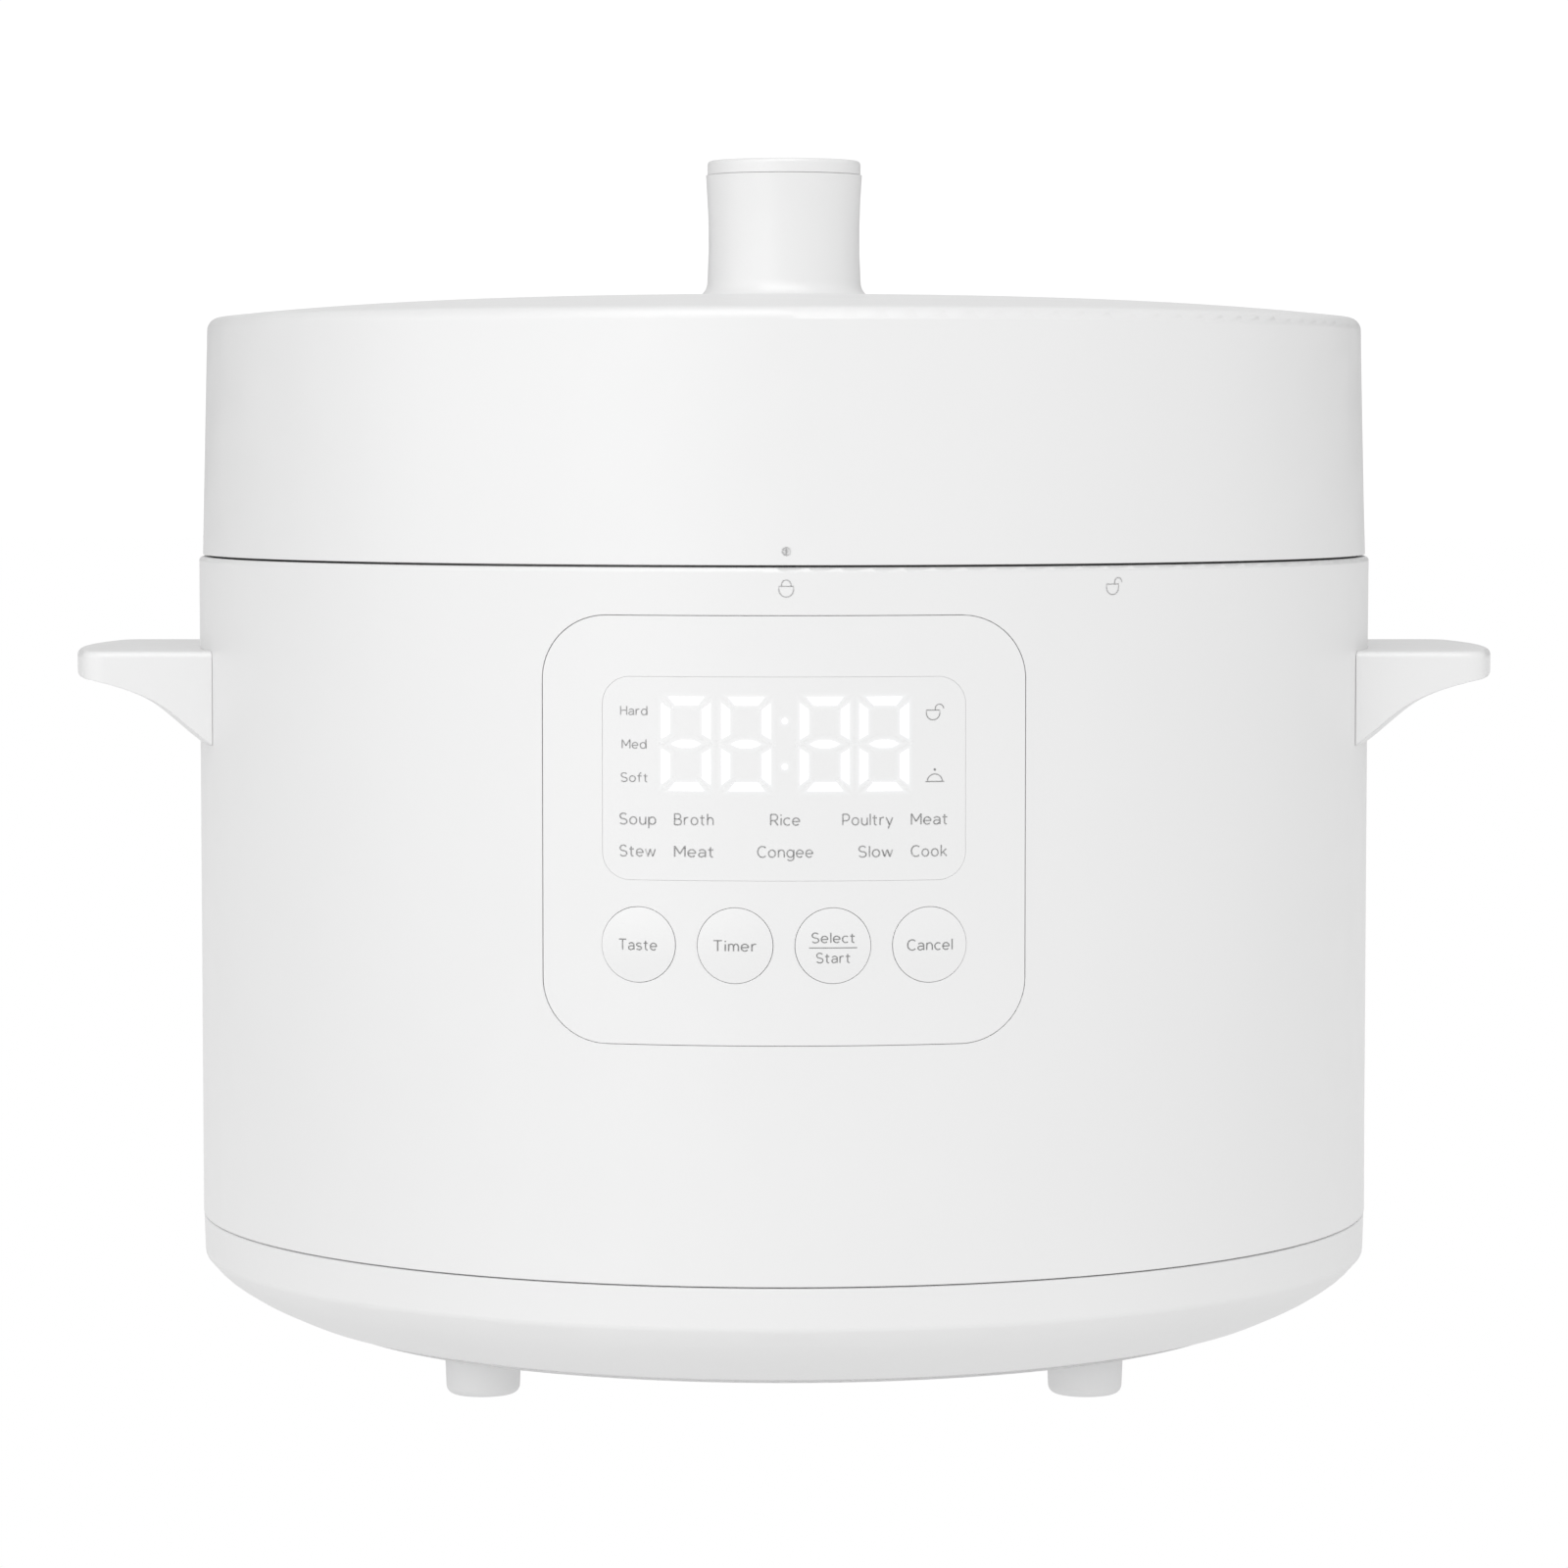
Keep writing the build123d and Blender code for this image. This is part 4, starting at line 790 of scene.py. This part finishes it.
def pot_icon(centre, width, opened):
    """Round-bottomed pot with a loop above it, shut or swung open to the right."""
    half = width / 2
    line = width * LINE_SHARE
    bowl = [(centre[0] - half, centre[1])]
    bowl += arc_path((centre[0], centre[1] - half * 0.45), half, 180, 360)
    bowl += [(centre[0] + half, centre[1])]
    marks = [stroke(bowl, line, closed=True)]
    if opened:
        loop = [(centre[0] + half * 0.33, centre[1])]
        loop += arc_path((centre[0] + half * 0.95, centre[1] + half * 0.25), half * 0.62, 180, 0)
        marks.append(stroke(loop, line))
    else:
        loop = [(centre[0] - half * 0.65, centre[1])]
        loop += arc_path((centre[0], centre[1] + half * 0.2), half * 0.65, 180, 0)
        loop += [(centre[0] + half * 0.65, centre[1])]
        marks.append(stroke(loop, line))
    return joined_drawing(*marks)


def cover_icon(centre, radius):
    """Domed dish cover on its plate, with a dot for the grip."""
    dome = stroke(arc_path(centre, radius, 180, 0), COVER_LINE)
    half = radius * 1.25
    plate = stroke([(centre[0] - half, centre[1]), (centre[0] + half, centre[1])], COVER_LINE)
    return joined_drawing(dome, plate, dot((centre[0], centre[1] + radius * 1.6), 0.27))


small_icons = joined_drawing(
    pot_icon((32.1, LENS_MIDDLE + 14.7), 2.9, True),
    cover_icon((32.5, LENS_MIDDLE - 0.7), 1.62),
)
points, faces = on_drum(small_icons, DRUM_RADIUS + INK_LIFT)
new_piece("display_icons", points, faces, grey_ink, "cooker_body", INK_DEPTH)

LID_OPEN_TURN = joints["lid_turn"]["range_deg"][1]
MARK_UP = shell_high.z / MM - MARK_DROP
MARKS = (("mark_locked", False, MARK_TURN), ("mark_open", True, LID_OPEN_TURN + OPEN_MARK_EXTRA))
for name, opened, turn in MARKS:
    points, faces = on_drum(pot_icon((0.0, MARK_UP), MARK_WIDTH, opened), DRUM_RADIUS + INK_LIFT, turn)
    new_piece(name, points, faces, pale_ink, "cooker_body", INK_DEPTH)
lid_low, lid_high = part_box("lid_cover")
lid_dot = dot((0.0, lid_low.z / MM + LID_DOT_UP), LID_DOT_RADIUS)
points, faces = on_drum(lid_dot, lid_high.x / MM + LID_DOT_LIFT, MARK_TURN)
new_piece("lid_dot", points, faces, pale_ink, "lid", LID_DOT_DEPTH)
print("printed icons and the lid's dot")

# %% [markdown]
# Each digit has seven windows: slanted bars at the sides, bevelled bars at top and bottom and a
# pointed lens in the middle. One digit is drawn once and placed four times, with two dots.

# %% digit windows
DIGIT_WIDE = 10.7
DIGIT_TALL = 20.35
BAR = 1.92
DIGIT_LEFTS = (-26.45, -13.5, 3.4, 16.2)
DIGIT_TOP = LENS_MIDDLE + 17.72
COLON_ACROSS = 0.17
COLON_UPS = (12.5, 2.7)
COLON_RADIUS = 0.68
CENTRE_BAR = ((2.0, 0.0), (3.2, 0.62), (4.3, 0.90), (6.4, 0.90), (7.5, 0.62), (8.7, 0.0))


def digit_windows(left, top):
    """Seven flat outlines of one digit, from its upper left corner."""
    half = DIGIT_TALL / 2
    outlines = []
    for flip in (1, -1):
        edge = top if flip == 1 else top - DIGIT_TALL
        outlines.append([(left + 1.4, edge), (left + DIGIT_WIDE - 1.25, edge),
                         (left + DIGIT_WIDE - 2.75, edge - flip * BAR), (left + 3.0, edge - flip * BAR)])
        for side in (1, -1):
            outer = left if side == 1 else left + DIGIT_WIDE
            inner = outer + side * BAR
            outlines.append([(outer, edge - flip * 1.3), (inner, edge - flip * 2.75),
                             (inner, edge - flip * (half - 2.1)), (outer, edge - flip * (half - 0.95))])
    centre_outline = CENTRE_BAR + tuple((across, -up) for across, up in reversed(CENTRE_BAR[1:-1]))
    outlines.append([(left + across, top - half + up) for across, up in centre_outline])
    return outlines


windows = [outline for left in DIGIT_LEFTS for outline in digit_windows(left, DIGIT_TOP)]
windows += [arc_path((COLON_ACROSS, LENS_MIDDLE + up), COLON_RADIUS, 0, 345, 23) for up in COLON_UPS]
print("drew", len(windows), "windows")


# %% lit sheets and halos
def turning(outline):
    """Twice the signed area of an outline: above zero when it runs anticlockwise."""
    pairs = zip(outline, outline[1:] + outline[:1])
    return sum(a[0] * b[1] - b[0] * a[1] for a, b in pairs)


def refined(outline, longest=SLICE):
    """Outline with its long edges split, so that its halo can follow the drum."""
    spots = []
    for here, ahead in zip(outline, outline[1:] + outline[:1]):
        here, ahead = Vector(here), Vector(ahead)
        parts = max(1, math.ceil((ahead - here).length / longest))
        spots += [tuple(here.lerp(ahead, part / parts)) for part in range(parts)]
    return spots


def grown(outline, reach):
    """Outline moved outward by a reach, with its corners kept."""
    count = len(outline)
    moved = []
    for index in range(count):
        here = Vector(outline[index])
        into = (here - Vector(outline[index - 1])).normalized()
        away = (Vector(outline[(index + 1) % count]) - here).normalized()
        into_side = Vector((into.y, -into.x))
        away_side = Vector((away.y, -away.x))
        side = (into_side + away_side).normalized()
        stretch = min(2.0, 1.0 / max(0.2, side.dot(into_side)))
        moved.append(tuple(here + side * reach * stretch))
    return moved


WINDOW_SOFTNESS = 0.14
HALO_RADIUS = DRUM_RADIUS + 0.02
HALO_RINGS = ((0.0, 0.95), (0.2, 0.6), (0.5, 0.25), (0.9, 0.08), (1.3, 0.0))
halo_points, halo_faces, halo_fade, lit = [], [], [], []
for outline in windows:
    ordered = outline if turning(outline) > 0 else outline[::-1]
    ordered = grown(ordered, -WINDOW_SOFTNESS)
    lit.append((ordered, [tuple(range(len(ordered)))]))
    ordered = refined(ordered)
    count = len(ordered)
    base = len(halo_points)
    for reach, level in HALO_RINGS:
        halo_points += [drum_point(across, up, HALO_RADIUS) for across, up in grown(ordered, reach)]
        halo_fade += [level] * count
    for ring in range(len(HALO_RINGS) - 1):
        for index in range(count):
            ahead = (index + 1) % count
            near, far = base + ring * count, base + (ring + 1) * count
            halo_faces.append((near + ahead, near + index, far + index, far + ahead))
points, faces = on_drum(joined_drawing(*lit), DRUM_RADIUS + INK_LIFT)
new_piece("lit_digits", points, faces, lit_window, "cooker_body", INK_DEPTH)
halo = new_piece("digit_halo", halo_points, halo_faces, halo_light, "cooker_body")
fade_layer = halo.data.attributes.new("fade", "FLOAT", "POINT")
fade_layer.data.foreach_set("value", halo_fade)
print("lit", len(lit), "windows")

# %% [markdown]
# A key's word must move with the key, so it rides on the key's own body. The joint gives the way
# in, and the key's own points give how far out its face stands, so no place is typed twice.

# %% words on the keys
KEY_WORDS = {
    "taste": [("Taste", 8.5, 0.0, 2.5)],
    "timer": [("Timer", 9.3, 0.0, 2.5)],
    "start": [("Select", 9.3, 1.75, 2.35), ("Start", 7.3, -2.6, 2.35)],
    "cancel": [("Cancel", 10.2, 0.0, 2.5)],
}
KEY_RADIUS = 8.15
KEY_RISE = 0.45
KEY_DOME = (KEY_RADIUS ** 2 + KEY_RISE ** 2) / (2 * KEY_RISE)
KEY_INK_LIFT = 0.03
RULE = [(-5.2, -0.42), (5.2, -0.42)]
RULE_WIDTH = 0.22
for key, lines in KEY_WORDS.items():
    node = nodes[key + "_button"]
    outward = -Vector(joints[key + "_press"]["axis"]).normalized()
    low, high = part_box(key + "_button")
    key_up = (low.z + high.z) / 2 / MM
    reach = max(corner.co.dot(outward) for corner in node.data.vertices)
    across_way = Vector((-outward.y, outward.x, 0.0))
    drawings = [fitted_word(word, -wide / 2, wide / 2, up, cap) for word, wide, up, cap in lines]
    if len(lines) > 1:
        drawings.append(stroke(RULE, RULE_WIDTH))
    flat, faces = sliced(joined_drawing(*drawings))
    points = []
    for across, up in flat:
        sink = (across ** 2 + up ** 2) / (2 * KEY_DOME)
        place = outward * (reach + (KEY_INK_LIFT - sink) * MM) + across_way * across * MM
        points.append(place + Vector((0, 0, key_up + up)) * MM)
    new_piece(key + "_word", points, faces, key_ink, key + "_key", INK_DEPTH)
print("lettered", len(KEY_WORDS), "keys")

# %% [markdown]
# The sensor's spring is trapped between its bracket and the cup, so it shortens as the cup goes
# down. A steel coil stands in for the rigid one: here it is a copy of its mesh that rides on the
# body, and the rigid spring is hidden.

# %% sensor spring
spring_coil = bpy.data.objects.new("sensor_coil", nodes["sensor_spring"].data.copy())
scene.collection.objects.link(spring_coil)
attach(spring_coil, "cooker_body")
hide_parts("sensor_spring")
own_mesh(spring_coil)
